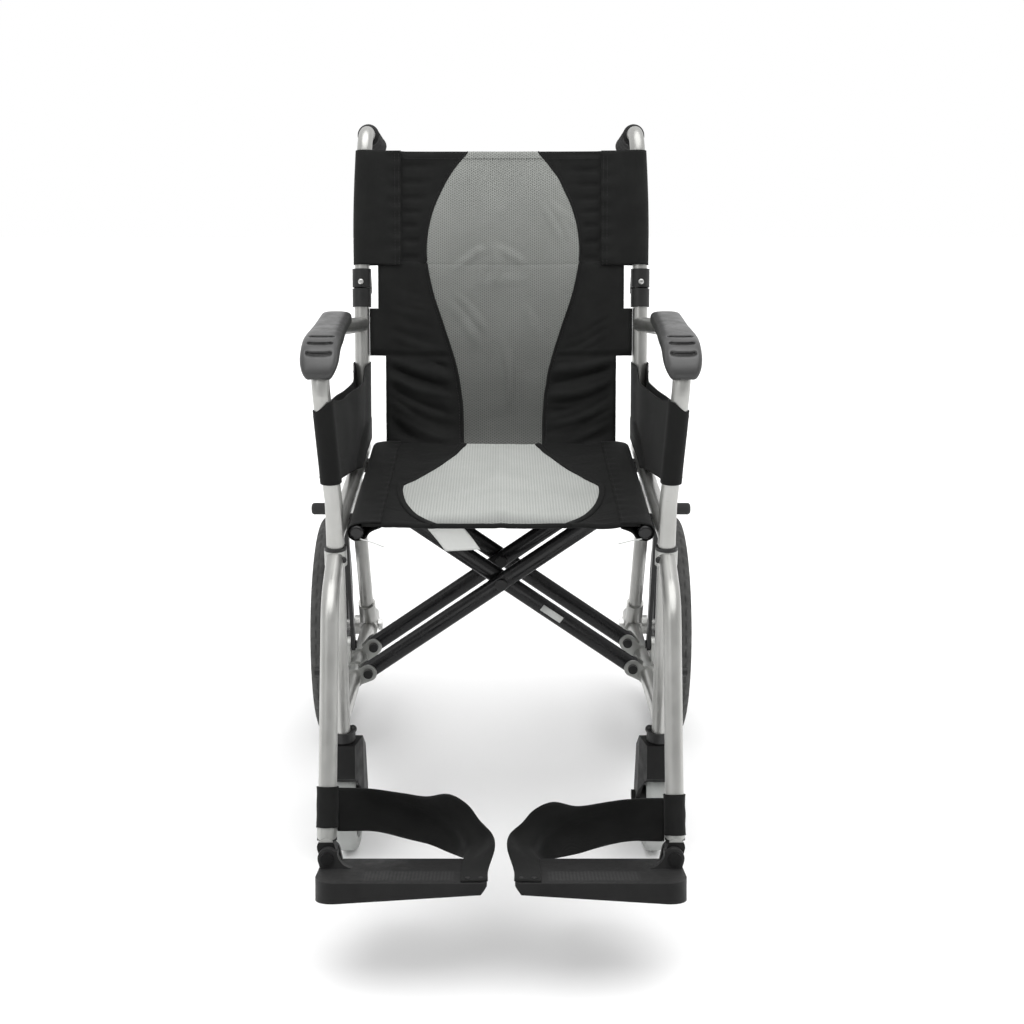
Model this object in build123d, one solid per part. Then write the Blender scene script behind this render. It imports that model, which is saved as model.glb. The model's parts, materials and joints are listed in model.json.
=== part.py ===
from build123d import *
import os
from math import acos, atan2, cos, degrees, hypot, radians, sin, tan

# Folding transport wheelchair with 14 inch rear wheels and 6 inch casters.
# Millimetres. +X is the occupant's left, -Y is the front, +Z is up.
# Y is measured from the rear axle while modelling, and every node is moved back by
# AXLE_Y when it is written, so that the origin is under the middle of the chair.

# Wheels
WHEEL_R = 172.5
WHEEL_X = 264.0
TYRE_HALF_WIDTH = 16.5
RIM_R = 146.5
AXLE_R = 6.0
RUNNING = 0.05
CASTER_R = 75.0
CASTER_HALF_WIDTH = 14.0
CASTER_X = 206.0
CASTER_Y = -369.0
SWIVEL_Y = -418.0

# Side frames
FRAME_X = 207.0
TUBE_R = 11.0
TUBE_WALL = 2.0
STRUT_R = 10.0
POST_Y = -421.0
POST_FOOT_Z = 196.0
POST_FLARE_Z = 505.0
ARM_X = 220.0
ARM_Z = 684.0
ARM_REAR_Y = -200.0
ARM_END_Z = 645.0
SEAT_TUBE_Z = 462.0
LOWER_TUBE_RISE = 0.094
LOWER_TUBE_REAR_Y = 60.0
RECEIVER_DEPTH = 50.0

# Back
RECLINE = 13.5
CANE_FOOT_Y = -20.0
HINGE_Z = 697.0
HINGE_PIN_BACK = 22.0
HANDLE_TOP_X = 201.0
HANDLE_TOP_Z = 922.0
HANDLE_END = (197.0, 241.0, 887.0)
GRIP_R = 16.5

# Cross brace and seat
BRACE_X = 186.0
BRACE_FOOT_Z = 205.0
BRACE_CENTRE_Z = 337.0
RAIL_X = 181.0
RAIL_R = 9.5
RAIL_FRONT_Y = -415.0
RAIL_REAR_Y = -36.0
BRACE_STATIONS = (-241.0, -148.0)
BRACE_OFFSET = 8.0
BRACE_HALF_DEPTH = 7.5
BRACE_HALF_HEIGHT = 12.0
BRACE_EYE_R = 11.0

# Leg rests
LEG_TOP = (FRAME_X, POST_Y, 440.0)
LEG_KNEE = (FRAME_X, -497.0, 408.0)
COLLAR_Z = (426.0, 450.0)
LEG_FOOT = (FRAME_X, -612.0, 149.0)
SOCKET = 12.0
SOCKET_WALL = 1.0
TOE_UP = 15.5
FLIP_AXIS = (204.0, -634.0, 137.0)
WEB_R = 20.0

# Brakes
BRAKE_Y = -210.0
BRAKE_Z = 228.0
SHOE_ARM = 45.0
SHOE_R = 7.0
BRAKE_THROW = 38.0
BRAKE_GRIP_Y = -258.0
BRAKE_GRIP_Z = 447.0

# Distance from the rear axle to the middle of the whole chair
AXLE_Y = 229.5


def rod(start, end, radius):
    """Solid round bar between two points."""
    start = Vector(start)
    end = Vector(end)
    plane = Plane(origin=start, z_dir=end - start)
    low = (Align.CENTER, Align.CENTER, Align.MIN)
    return plane * Cylinder(radius, (end - start).length, align=low)


def pipe(start, end, radius, wall=TUBE_WALL):
    """Straight hollow tube between two points."""
    return rod(start, end, radius) - rod(start, end, radius - wall)


def bent(points, radii, radius, wall=TUBE_WALL):
    """Hollow tube along straight runs joined by arcs."""
    path = FilletPolyline(*points, radius=radii)
    start = Plane(origin=path @ 0, z_dir=path % 0)
    return sweep(start * Circle(radius), path) - sweep(start * Circle(radius - wall), path)


def bent_solid(points, radii, radius):
    """The outside of a bent tube, filled."""
    path = FilletPolyline(*points, radius=radii)
    return sweep(Plane(origin=path @ 0, z_dir=path % 0) * Circle(radius), path)


def bar_x(x0, x1, y, z, radius):
    """Round bar across the chair."""
    return rod((x0, y, z), (x1, y, z), radius)


def block(x0, x1, y0, y1, z0, z1):
    """Rectangular block between two corners."""
    low = (Align.MIN, Align.MIN, Align.MIN)
    return Pos(x0, y0, z0) * Box(x1 - x0, y1 - y0, z1 - z0, align=low)


def side_plate(points, x0, x1):
    """Plate cut from an outline of (y, z) points, from x0 to x1."""
    face = Plane(origin=(x0, 0, 0), x_dir=(0, 1, 0), z_dir=(1, 0, 0)) * make_face(Polyline(*points, close=True))
    return extrude(face, x1 - x0)


def front_plate(points, y0, y1):
    """Plate cut from an outline of (x, z) points, from y0 to y1."""
    plane = Plane(origin=(0, y1, 0), x_dir=(1, 0, 0), z_dir=(0, -1, 0))
    return extrude(plane * make_face(Polyline(*points, close=True)), y1 - y0)


def link_outline(a, ra, b, rb):
    """Face of the belt shape round two circles, in its own plane."""
    circles = Pos(*a) * Circle(ra) + Pos(*b) * Circle(rb)
    return make_hull(circles.edges())


def link_x(a, ra, b, rb, x0, x1):
    """Link between two round ends given as (y, z), from x0 to x1."""
    plane = Plane(origin=(x0, 0, 0), x_dir=(0, 1, 0), z_dir=(1, 0, 0))
    return extrude(plane * link_outline(a, ra, b, rb), x1 - x0)


def link_y(a, ra, b, rb, y0, y1):
    """Link between two round ends given as (x, z), from y0 to y1."""
    plane = Plane(origin=(0, y1, 0), x_dir=(1, 0, 0), z_dir=(0, -1, 0))
    return extrude(plane * link_outline(a, ra, b, rb), y1 - y0)


# Lines that several pieces share

def lower_tube_z(y):
    """Height of the lower side tube, which rises to the front."""
    return WHEEL_R - LOWER_TUBE_RISE * y


CANE_DIR = Vector(0, sin(radians(RECLINE)), cos(radians(RECLINE)))


def on_cane(z):
    """Point on the back cane's axis at a height."""
    return Vector(FRAME_X, CANE_FOOT_Y + (z - SEAT_TUBE_Z) * tan(radians(RECLINE)), z)


CANE = Plane(origin=on_cane(HINGE_Z), x_dir=(1, 0, 0), z_dir=CANE_DIR)
LEG_DIR = (Vector(LEG_FOOT) - Vector(LEG_KNEE)).normalized()
FOOT = Plane(origin=FLIP_AXIS, x_dir=(1, 0, 0), z_dir=(0, sin(radians(TOE_UP)), cos(radians(TOE_UP))))
BRACE_SLOPE = (BRACE_CENTRE_Z - BRACE_FOOT_Z) / BRACE_X
RAIL_Z = BRACE_CENTRE_Z + RAIL_X * BRACE_SLOPE

ARM_POINTS = [
    (FRAME_X, POST_Y, POST_FOOT_Z),
    (FRAME_X, POST_Y, POST_FLARE_Z),
    (ARM_X, POST_Y, ARM_Z),
    (ARM_X - 3, ARM_REAR_Y, ARM_Z),
    tuple(on_cane(ARM_END_Z)),
]
ARM_RADII = [150, 40, 120]
LEG_POINTS = [LEG_TOP, LEG_KNEE, LEG_FOOT]
LEG_RADII = [62]
HANDLE_POINTS = [
    tuple(on_cane(HINGE_Z + 1)),
    (HANDLE_TOP_X, on_cane(HANDLE_TOP_Z).Y, HANDLE_TOP_Z),
    HANDLE_END,
]
HANDLE_RADII = [36]

POST_OUTSIDE = rod((FRAME_X, POST_Y, 180), (FRAME_X, POST_Y, POST_FLARE_Z), TUBE_R)
SEAT_TUBE_OUTSIDE = rod((FRAME_X, POST_Y, SEAT_TUBE_Z), (FRAME_X, 0, SEAT_TUBE_Z), TUBE_R)
LOWER_START = (FRAME_X, POST_Y, lower_tube_z(POST_Y))
LOWER_END = (FRAME_X, LOWER_TUBE_REAR_Y, lower_tube_z(LOWER_TUBE_REAR_Y))
LOWER_OUTSIDE = rod(LOWER_START, LOWER_END, TUBE_R)
LOWER_DIR = (Vector(LOWER_END) - Vector(LOWER_START)).normalized()
CANE_OUTSIDE = rod(on_cane(SEAT_TUBE_Z), on_cane(HINGE_Z), TUBE_R)
STRUT_TOP = (FRAME_X, -148.0, SEAT_TUBE_Z)
STRUT_FOOT = (FRAME_X, -14.0, 184.0)
STRUT_OUTSIDE = rod(STRUT_TOP, STRUT_FOOT, STRUT_R)
AXLE_OUTSIDE = bar_x(180, 290, 0, WHEEL_R, AXLE_R)


# Side frame tubes

def arm_frame_tube():
    """Front post that bends over into the armrest and meets the back cane."""
    return bent(ARM_POINTS, ARM_RADII, TUBE_R) - CANE_OUTSIDE


def seat_side_tube():
    """Level tube from the front post to the foot of the back cane."""
    start = (FRAME_X, POST_Y, SEAT_TUBE_Z)
    return pipe(start, (FRAME_X, 0, SEAT_TUBE_Z), TUBE_R) - POST_OUTSIDE


def lower_side_tube():
    """Tube from the post's foot past the axle, with an open socket at its rear end."""
    stop = Vector(LOWER_END) - LOWER_DIR * RECEIVER_DEPTH
    web = stop - LOWER_DIR * 4
    tube = LOWER_OUTSIDE - rod(LOWER_START, web, TUBE_R - TUBE_WALL)
    tube = tube - rod(stop, LOWER_END, TUBE_R - TUBE_WALL)
    return tube - POST_OUTSIDE - caster_boss() - AXLE_OUTSIDE


def rear_strut():
    """Diagonal from the seat side tube down to the axle bracket."""
    return pipe(STRUT_TOP, STRUT_FOOT, STRUT_R) - SEAT_TUBE_OUTSIDE - LOWER_OUTSIDE - AXLE_OUTSIDE


def back_cane_lower():
    """Cane below the folding hinge."""
    return pipe(on_cane(SEAT_TUBE_Z), on_cane(HINGE_Z - 1), TUBE_R) - SEAT_TUBE_OUTSIDE


def axle_bracket():
    """Casting round the lower side tube that holds the axle and the strut's foot."""
    along = LOWER_DIR * 28
    middle = Vector(FRAME_X, 0, WHEEL_R)
    sleeve = rod(middle - along, middle + along, 14.5)
    boss = bar_x(FRAME_X, 229, 0, WHEEL_R, 15)
    strut_dir = (Vector(STRUT_TOP) - Vector(STRUT_FOOT)).normalized()
    lug = rod(STRUT_FOOT, Vector(STRUT_FOOT) + strut_dir * 42, STRUT_R + 3)
    return sleeve + boss + lug - LOWER_OUTSIDE - STRUT_OUTSIDE - AXLE_OUTSIDE


def leg_tube():
    """Leg rest tube, curving forward from the post and down to the foot plate."""
    collar = rod((FRAME_X, POST_Y, COLLAR_Z[0]), (FRAME_X, POST_Y, COLLAR_Z[1]), TUBE_R + 3)
    return bent(LEG_POINTS, LEG_RADII, TUBE_R) - collar - POST_OUTSIDE


# Casters

def caster_boss():
    return rod((CASTER_X, SWIVEL_Y, 183), (CASTER_X, SWIVEL_Y, POST_FOOT_Z), 16)


def caster_housing():
    """Swivel bearing housing under the post, with a small domed cap."""
    stem = rod((CASTER_X, SWIVEL_Y, 180), (CASTER_X, SWIVEL_Y, 192), 5 + RUNNING)
    cap = Pos(CASTER_X - 12, SWIVEL_Y + 6, POST_FOOT_Z - 2) * Sphere(5.5)
    return caster_boss() + cap - stem - POST_OUTSIDE - LOWER_OUTSIDE


def caster_fork():
    """Fork with a front shroud, two legs and a stem."""
    outline = [(-434, 180), (-402, 180), (-366, 150), (-352, 80), (-358, 62), (-380, 62), (-386, 80), (-437, 134)]
    body = side_plate(outline, CASTER_X - 24, CASTER_X + 24)
    plan = [(-15, -440), (15, -440), (24, -404), (24, -340), (-24, -340), (-24, -404)]
    footprint = Plane.XY.offset(50) * Pos(CASTER_X, 0) * make_face(Polyline(*plan, close=True))
    body = body & extrude(footprint, 140)
    space = bar_x(CASTER_X - 18.5, CASTER_X + 18.5, CASTER_Y, CASTER_R, CASTER_R + 4)
    stem = rod((CASTER_X, SWIVEL_Y, 178), (CASTER_X, SWIVEL_Y, 191), 5)
    collar = rod((CASTER_X, SWIVEL_Y, 178), (CASTER_X, SWIVEL_Y, 182.5), 14)
    bolt = bar_x(CASTER_X - 29, CASTER_X + 29, CASTER_Y, CASTER_R, 4)
    heads = bar_x(CASTER_X - 29, CASTER_X - 24, CASTER_Y, CASTER_R, 6.5)
    heads = heads + bar_x(CASTER_X + 24, CASTER_X + 29, CASTER_Y, CASTER_R, 6.5)
    return body - space + stem + collar + bolt + heads


def caster_tyre():
    """Soft tread round the caster hub."""
    profile = Pos(CASTER_R - 12, 0) * RectangleRounded(24, 2 * CASTER_HALF_WIDTH, 9)
    tyre = revolve(Plane.XZ * profile, Axis.Z)
    hub = Cylinder(CASTER_R - 17, 2 * CASTER_HALF_WIDTH + 2)
    return Pos(CASTER_X, CASTER_Y, CASTER_R) * Rot(0, 90, 0) * (tyre - hub)


def caster_hub():
    """Caster wheel centre, bored for its axle."""
    disc = Cylinder(CASTER_R - 17, 20)
    recess = Pos(0, 0, 8) * (Cylinder(CASTER_R - 24, 8) - Cylinder(16, 8))
    barrel = Cylinder(13, 36)
    bore = Cylinder(4 + RUNNING, 60)
    hub = disc - recess - mirror(recess, Plane.XY) + barrel - bore
    return Pos(CASTER_X, CASTER_Y, CASTER_R) * Rot(0, 90, 0) * hub


# Rear wheels, built about Z and then turned to run about X

def wheel_place():
    return Pos(WHEEL_X, 0, WHEEL_R) * Rot(0, 90, 0)


def rear_tyre():
    """Air tyre with a round tread."""
    profile = Pos(WHEEL_R - 15.5, 0) * Ellipse(15.5, TYRE_HALF_WIDTH)
    tyre = revolve(Plane.XZ * profile, Axis.Z)
    return wheel_place() * (tyre - Cylinder(RIM_R, 60))


def rear_rim():
    """Moulded rim with six twin spokes and a hub."""
    rim = Cylinder(RIM_R, 22) - Cylinder(RIM_R - 16, 22)
    hub = Cylinder(32, 31)
    spoke = Pos(80, 0) * Box(110, 8, 10)
    spokes = [Rot(0, 0, 60 * turn + side) * spoke for turn in range(6) for side in (-8, 8)]
    wheel = rim + hub + spokes
    seats = Pos(0, 0, 11.5) * Cylinder(14, 8) + Pos(0, 0, -11.5) * Cylinder(14, 8)
    return wheel_place() * (wheel - Cylinder(9, 40) - seats)


def wheel_bearings():
    """Two ball bearings pressed into the hub."""
    ring = Cylinder(14, 8) - Cylinder(AXLE_R + RUNNING, 8)
    pair = Compound(children=[Pos(0, 0, 11.5) * ring, Pos(0, 0, -11.5) * ring])
    return wheel_place() * pair


def rear_axle():
    """Bolt, nut and spacer that carry the rear wheel."""
    shaft = bar_x(186, 281, 0, WHEEL_R, AXLE_R)
    head = bar_x(280, 282, 0, WHEEL_R, 10)
    nut = Pos(189, 0, WHEEL_R) * Rot(0, 90, 0) * extrude(RegularPolygon(10, 6), 3.3, both=True)
    spacer = bar_x(229, 248, 0, WHEEL_R, 9)
    return shaft + head + nut + spacer


# Armrest, guard and push handles

def arm_pad():
    """Moulded pad that droops over the front of the armrest."""
    outline = [(-200, 689), (-200, 706), (-378, 707), (-414, 698), (-435, 678), (-437, 665)]
    outline += [(-406, 665), (-396, 679), (-370, 689)]
    pad = side_plate(outline, ARM_X - 24, ARM_X + 23)
    pad = fillet(pad.edges().filter_by(Axis.X), 4)
    return pad - bent_solid(ARM_POINTS, ARM_RADII, TUBE_R)


def side_guard():
    """Fabric guard stretched from the front post to the back cane."""
    front = rod((FRAME_X + 2, POST_Y, 533), (FRAME_X + 9.5, POST_Y, 625), TUBE_R + 2)
    rear = rod(on_cane(478), on_cane(590), TUBE_R + 1.8)
    outline = [(-415, 533), (-415, 625), (-70, 577), (-6, 582), (-16, 478), (-120, 478)]
    panel = side_plate(outline, FRAME_X - 1.5, FRAME_X + 1.5)
    sheet = panel + front + rear
    return sheet - bent_solid(ARM_POINTS, ARM_RADII, TUBE_R) - CANE_OUTSIDE


def back_cane_upper():
    """Cane above the hinge, bent back into the push handle."""
    return bent(HANDLE_POINTS, HANDLE_RADII, TUBE_R)


def push_grip():
    """Closed rubber grip on the push handle."""
    end = Vector(HANDLE_END)
    along = (end - Vector(HANDLE_POINTS[1])).normalized()
    outside = rod(end - along * 112, end + along * 6, GRIP_R)
    outside = fillet(outside.edges().filter_by(GeomType.CIRCLE), 4)
    return outside - rod(end - along * 120, end, TUBE_R)


def hinge_lower():
    """Lower half of the back hinge, with its middle knuckle and pin."""
    sleeve = CANE * Pos(0, 0, -14.5) * Cylinder(14, 27)
    arm = link_x((8, -15), 6, (HINGE_PIN_BACK, 0), 6.5, -6, 6)
    pin = bar_x(-13, 13, HINGE_PIN_BACK, 0, 3)
    body = sleeve + CANE * (arm - bar_x(-13, 13, HINGE_PIN_BACK, 0, 3))
    return Compound(children=[body - CANE_OUTSIDE, CANE * pin])


def hinge_upper():
    """Upper half of the back hinge, with two outer knuckles."""
    sleeve = CANE * Pos(0, 0, 14.5) * Cylinder(14, 27)
    hole = bar_x(-13, 13, HINGE_PIN_BACK, 0, 3 + RUNNING)
    ears = link_x((8, 15), 6, (HINGE_PIN_BACK, 0), 6.5, -13, -6.3)
    ears = ears + link_x((8, 15), 6, (HINGE_PIN_BACK, 0), 6.5, 6.3, 13)
    return sleeve + CANE * (ears - hole) - bent_solid(HANDLE_POINTS, HANDLE_RADII, TUBE_R)


# Leg rests

def footplate_bracket():
    """Socket on the leg tube's foot, with the knuckle and the flip bolt."""
    foot = Vector(LEG_FOOT)
    socket = rod(foot - LEG_DIR * SOCKET, foot, TUBE_R + SOCKET_WALL)
    socket = socket - bent_solid(LEG_POINTS, LEG_RADII, TUBE_R)
    knuckle = FOOT * link_y((0, 0), 10.5, (3, 10), 10.5, 4, 26)
    floor = rod(foot, foot + LEG_DIR * 2, TUBE_R + SOCKET_WALL)
    bolt = FOOT * rod((0, -8, 0), (0, 34, 0), 4)
    head = FOOT * rod((0, -13, 0), (0, -8.2, 0), 7.5)
    holder = socket + floor + (knuckle - rod(foot - LEG_DIR * 40, foot, TUBE_R + SOCKET_WALL)) - bolt
    return Compound(children=[holder, bolt + head + FOOT * rod((0, -9, 0), (0, -7, 0), 4)])


def footplate():
    """Foot plate, thinner inward, with two ears on the flip bolt and a web that flares into it."""
    section = [(10, -12), (-188, -12), (-188, -17), (-181, -26), (10, -38)]
    plate = front_plate(section, -66, 36)
    corners = plate.edges().filter_by(Axis.Z)
    outer_corners = corners.group_by(Axis.X)[-1]
    plate = fillet(outer_corners, 26)
    inner_corners = plate.edges().filter_by(Axis.Z).group_by(Axis.X)[0]
    plate = fillet(inner_corners, 8)
    ears = link_y((0, 0), 11.5, (-4, -16), 11, -7.8, 3.5) + link_y((0, 0), 11.5, (-4, -16), 11, 26.5, 34)
    web = block(-11.5 - WEB_R, 0, -7.8, 3.5, -14, WEB_R - 12)
    web = web - rod((-11.5 - WEB_R, -20, WEB_R - 12), (-11.5 - WEB_R, 20, WEB_R - 12), WEB_R)
    hole = rod((0, -60, 0), (0, 60, 0), 4 + RUNNING)
    return FOOT * (plate + ears + web - hole)


def heel_strap():
    """Heel loop: a sleeve on the leg tube and a band round behind the heel."""
    high = Vector(LEG_FOOT) - LEG_DIR * 58
    low = Vector(LEG_FOOT) - LEG_DIR * (SOCKET + 1)
    sleeve = rod(low, high, TUBE_R + 1.6) - bent_solid(LEG_POINTS, LEG_RADII, TUBE_R)
    line = Spline((194, -590), (150, -556), (92, -545), (44, -566), (26, -606))
    band = extrude(Plane.XY.offset(138) * trace(line, 3), 54)
    clear = bent_solid(LEG_POINTS, LEG_RADII, TUBE_R) + rod(LEG_FOOT, low, TUBE_R + 4)
    return sleeve + (band - clear)


# Brakes

SHOE_LOCKED = atan2(-BRAKE_Y, BRAKE_Z - WHEEL_R) - acos(
    (SHOE_ARM**2 + BRAKE_Y**2 + (BRAKE_Z - WHEEL_R)**2 - (WHEEL_R + SHOE_R + 0.5)**2)
    / (2 * SHOE_ARM * hypot(BRAKE_Y, BRAKE_Z - WHEEL_R))
)
SHOE_REST = SHOE_LOCKED - radians(BRAKE_THROW)


def brake_lever():
    """Hand lever, pivot shaft, shoe arm and shoe, with a rubber grip."""
    shoe_y = BRAKE_Y + SHOE_ARM * sin(SHOE_REST)
    shoe_z = BRAKE_Z - SHOE_ARM * cos(SHOE_REST)
    handle = link_x((BRAKE_Y, BRAKE_Z), 9, (-252, 412), 6, 208, 213)
    corner = (230, BRAKE_GRIP_Y, BRAKE_GRIP_Z)
    joggle = rod((211, -251, 408), corner, 4.5)
    stalk = bar_x(229, 250, BRAKE_GRIP_Y, BRAKE_GRIP_Z, 4.5) + Pos(*corner) * Sphere(4.5)
    shaft = bar_x(206, 228, BRAKE_Y, BRAKE_Z, 6)
    arm = link_x((BRAKE_Y, BRAKE_Z), 9, (shoe_y, shoe_z), SHOE_R, 223, 228)
    shoe = bar_x(223, 268, shoe_y, shoe_z, SHOE_R)
    lever = handle + joggle + stalk + shaft + arm + shoe
    grip = bar_x(234, 256, BRAKE_GRIP_Y, BRAKE_GRIP_Z, 8)
    grip = fillet(grip.edges().filter_by(GeomType.CIRCLE), 4)
    return Compound(children=[lever, grip - stalk])


def brake_bracket():
    """Clamp on the lower side tube with the lug that carries the brake shaft."""
    middle = Vector(FRAME_X, BRAKE_Y, lower_tube_z(BRAKE_Y))
    clamp = rod(middle - LOWER_DIR * 14, middle + LOWER_DIR * 14, TUBE_R + 3)
    lug = link_x((BRAKE_Y, middle.Z), 11, (BRAKE_Y, BRAKE_Z), 11, 214, 219)
    return clamp + lug - LOWER_OUTSIDE - bar_x(200, 230, BRAKE_Y, BRAKE_Z, 6 + RUNNING)


# Cross brace

def brace_bracket(y):
    """Fork-shaped plate pair, clamped on the lower side tube, with its pivot bolt."""
    middle = Vector(FRAME_X, y, lower_tube_z(y))
    half = BRACE_HALF_DEPTH + 0.5
    clamp = rod(middle - LOWER_DIR * 12, middle + LOWER_DIR * 12, TUBE_R + 3)
    pivot = (BRACE_X, BRACE_FOOT_Z)
    cheeks = link_y(pivot, 12, (FRAME_X - 4, middle.Z), 10, y - half - 3, y - half)
    cheeks = cheeks + link_y(pivot, 12, (FRAME_X - 4, middle.Z), 10, y + half, y + half + 3)
    bolt = rod((BRACE_X, y - half - 8, BRACE_FOOT_Z), (BRACE_X, y + half + 8, BRACE_FOOT_Z), 4)
    heads = rod((BRACE_X, y - half - 8, BRACE_FOOT_Z), (BRACE_X, y - half - 3, BRACE_FOOT_Z), 6.5)
    heads = heads + rod((BRACE_X, y + half + 3, BRACE_FOOT_Z), (BRACE_X, y + half + 8, BRACE_FOOT_Z), 6.5)
    swing = rod((BRACE_X, y - half, BRACE_FOOT_Z), (BRACE_X, y + half, BRACE_FOOT_Z), BRACE_HALF_HEIGHT + 0.6)
    body = clamp - swing + cheeks - LOWER_OUTSIDE - bolt
    return [body, bolt + heads]


def rail_saddle(y):
    """Cup on the seat side tube that the seat rail rests in."""
    cup = block(166, FRAME_X, y - 10, y + 10, RAIL_Z - 17, RAIL_Z - 1.5)
    rest = rod((RAIL_X, y - 20, RAIL_Z), (RAIL_X, y + 20, RAIL_Z), RAIL_R + 0.3)
    return cup - rest - SEAT_TUBE_OUTSIDE


def leg_collar():
    """Dark collar that joins the leg tube to the post."""
    low, high = COLLAR_Z
    return rod((FRAME_X, POST_Y, low), (FRAME_X, POST_Y, high), TUBE_R + 3) - POST_OUTSIDE


def frame_brackets(side):
    """Brace brackets, rail saddles, brake bracket and leg collar of one side."""
    pieces = [brake_bracket(), leg_collar(), rail_saddle(-340), rail_saddle(-80)]
    for station in BRACE_STATIONS:
        pieces += brace_bracket(station + side * BRACE_OFFSET)
    return Compound(children=pieces)


def brace_arm(side):
    """Two parallel tubes from the foot on one side to the rail on the other.

    side is -1 for the arm hinged on the right frame, and +1 for the left.
    """
    foot_x = side * BRACE_X
    slope = Vector(-side, 0, BRACE_SLOPE).normalized()
    length = (RAIL_X + BRACE_X) * hypot(1, BRACE_SLOPE)
    rail = rod((-side * RAIL_X, -500, RAIL_Z), (-side * RAIL_X, 50, RAIL_Z), RAIL_R)
    lid = block(-300, 300, -500, 100, RAIL_Z - 3, RAIL_Z + 60)
    tubes = []
    for station in BRACE_STATIONS:
        y = station + side * BRACE_OFFSET
        plane = Plane(origin=(foot_x, y, BRACE_FOOT_Z), x_dir=(0, 1, 0), z_dir=slope)
        oval = extrude(plane * Ellipse(BRACE_HALF_DEPTH, BRACE_HALF_HEIGHT), length)
        half = BRACE_HALF_DEPTH
        eye = rod((foot_x, y - half, BRACE_FOOT_Z), (foot_x, y + half, BRACE_FOOT_Z), BRACE_EYE_R)
        hole = rod((foot_x, y - 20, BRACE_FOOT_Z), (foot_x, y + 20, BRACE_FOOT_Z), 4 + RUNNING)
        centre = rod((0, y - 20, BRACE_CENTRE_Z), (0, y + 20, BRACE_CENTRE_Z), 4 + RUNNING)
        tubes.append(oval + eye - hole - centre - rail - lid)
    return Compound(children=tubes)


def centre_bolts():
    """Two bolts through the crossings, held in the arm hinged on the right."""
    bolts = []
    for y in BRACE_STATIONS:
        reach = BRACE_OFFSET + BRACE_HALF_DEPTH
        shaft = rod((0, y - reach - 5, BRACE_CENTRE_Z), (0, y + reach + 6, BRACE_CENTRE_Z), 4)
        head = rod((0, y - reach - 5, BRACE_CENTRE_Z), (0, y - reach - 0.2, BRACE_CENTRE_Z), 8)
        nut = rod((0, y + reach + 0.4, BRACE_CENTRE_Z), (0, y + reach + 6, BRACE_CENTRE_Z), 7)
        bolts.append(shaft + head + nut)
    return Compound(children=bolts)


def seat_rail():
    """Round rail that carries one edge of the seat, with its end cap."""
    front = (RAIL_X, RAIL_FRONT_Y + 6, RAIL_Z)
    tube = pipe(front, (RAIL_X, RAIL_REAR_Y, RAIL_Z), RAIL_R)
    cap = rod((RAIL_X, RAIL_FRONT_Y, RAIL_Z), front, RAIL_R)
    cap = fillet(cap.edges().group_by(Axis.Y)[0], 4)
    return Compound(children=[tube, cap])


# Upholstery

def seat_sling():
    """Seat panel slung between the rails."""
    return block(-170.5, 170.5, -412, -30, RAIL_Z, RAIL_Z + 6)


def back_sling_lower():
    """Hanging part of the back, below the hinges."""
    middle = Plane(origin=(0, CANE.origin.Y, HINGE_Z), x_dir=(1, 0, 0), z_dir=CANE_DIR)
    return middle * block(-172, 172, -5, 1, -224, 32)


def back_sling_upper():
    """Part of the back that is sleeved over the upper canes."""
    middle = Plane(origin=(0, CANE.origin.Y, HINGE_Z), x_dir=(1, 0, 0), z_dir=CANE_DIR)
    return middle * block(-187, 187, -5, 1, 34, 201)


SIDE_NODES = {
    "arm_frame_tube": arm_frame_tube,
    "seat_side_tube": seat_side_tube,
    "lower_side_tube": lower_side_tube,
    "rear_strut": rear_strut,
    "back_cane_lower": back_cane_lower,
    "axle_bracket": axle_bracket,
    "leg_tube": leg_tube,
    "caster_housing": caster_housing,
    "caster_fork": caster_fork,
    "caster_tyre": caster_tyre,
    "caster_hub": caster_hub,
    "rear_tyre": rear_tyre,
    "rear_rim": rear_rim,
    "wheel_bearings": wheel_bearings,
    "rear_axle": rear_axle,
    "arm_pad": arm_pad,
    "side_guard": side_guard,
    "back_cane_upper": back_cane_upper,
    "push_grip": push_grip,
    "hinge_lower": hinge_lower,
    "hinge_upper": hinge_upper,
    "footplate_bracket": footplate_bracket,
    "footplate": footplate,
    "heel_strap": heel_strap,
    "brake_lever": brake_lever,
    "seat_rail": seat_rail,
}
CENTRE_NODES = {
    "right_brace_arm": brace_arm(-1),
    "left_brace_arm": brace_arm(1),
    "brace_centre_bolts": centre_bolts(),
    "seat_sling": seat_sling(),
    "back_sling_lower": back_sling_lower(),
    "back_sling_upper": back_sling_upper(),
}


def write(name, shape):
    """Write one node, moved so that the origin is under the chair's middle."""
    export_step(Pos(0, AXLE_Y, 0) * shape, f"parts/{name}.step")


os.makedirs("parts", exist_ok=True)
for name, make in SIDE_NODES.items():
    left = make()
    write(f"left_{name}", left)
    write(f"right_{name}", mirror(left, Plane.YZ))
write("left_frame_brackets", frame_brackets(1))
write("right_frame_brackets", mirror(frame_brackets(-1), Plane.YZ))
for name, shape in CENTRE_NODES.items():
    write(name, shape)
print("brake shoe at rest, degrees behind straight down:", round(degrees(SHOE_REST), 2))
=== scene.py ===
import json
import math

import bmesh
import bpy
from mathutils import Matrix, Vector, noise


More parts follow.
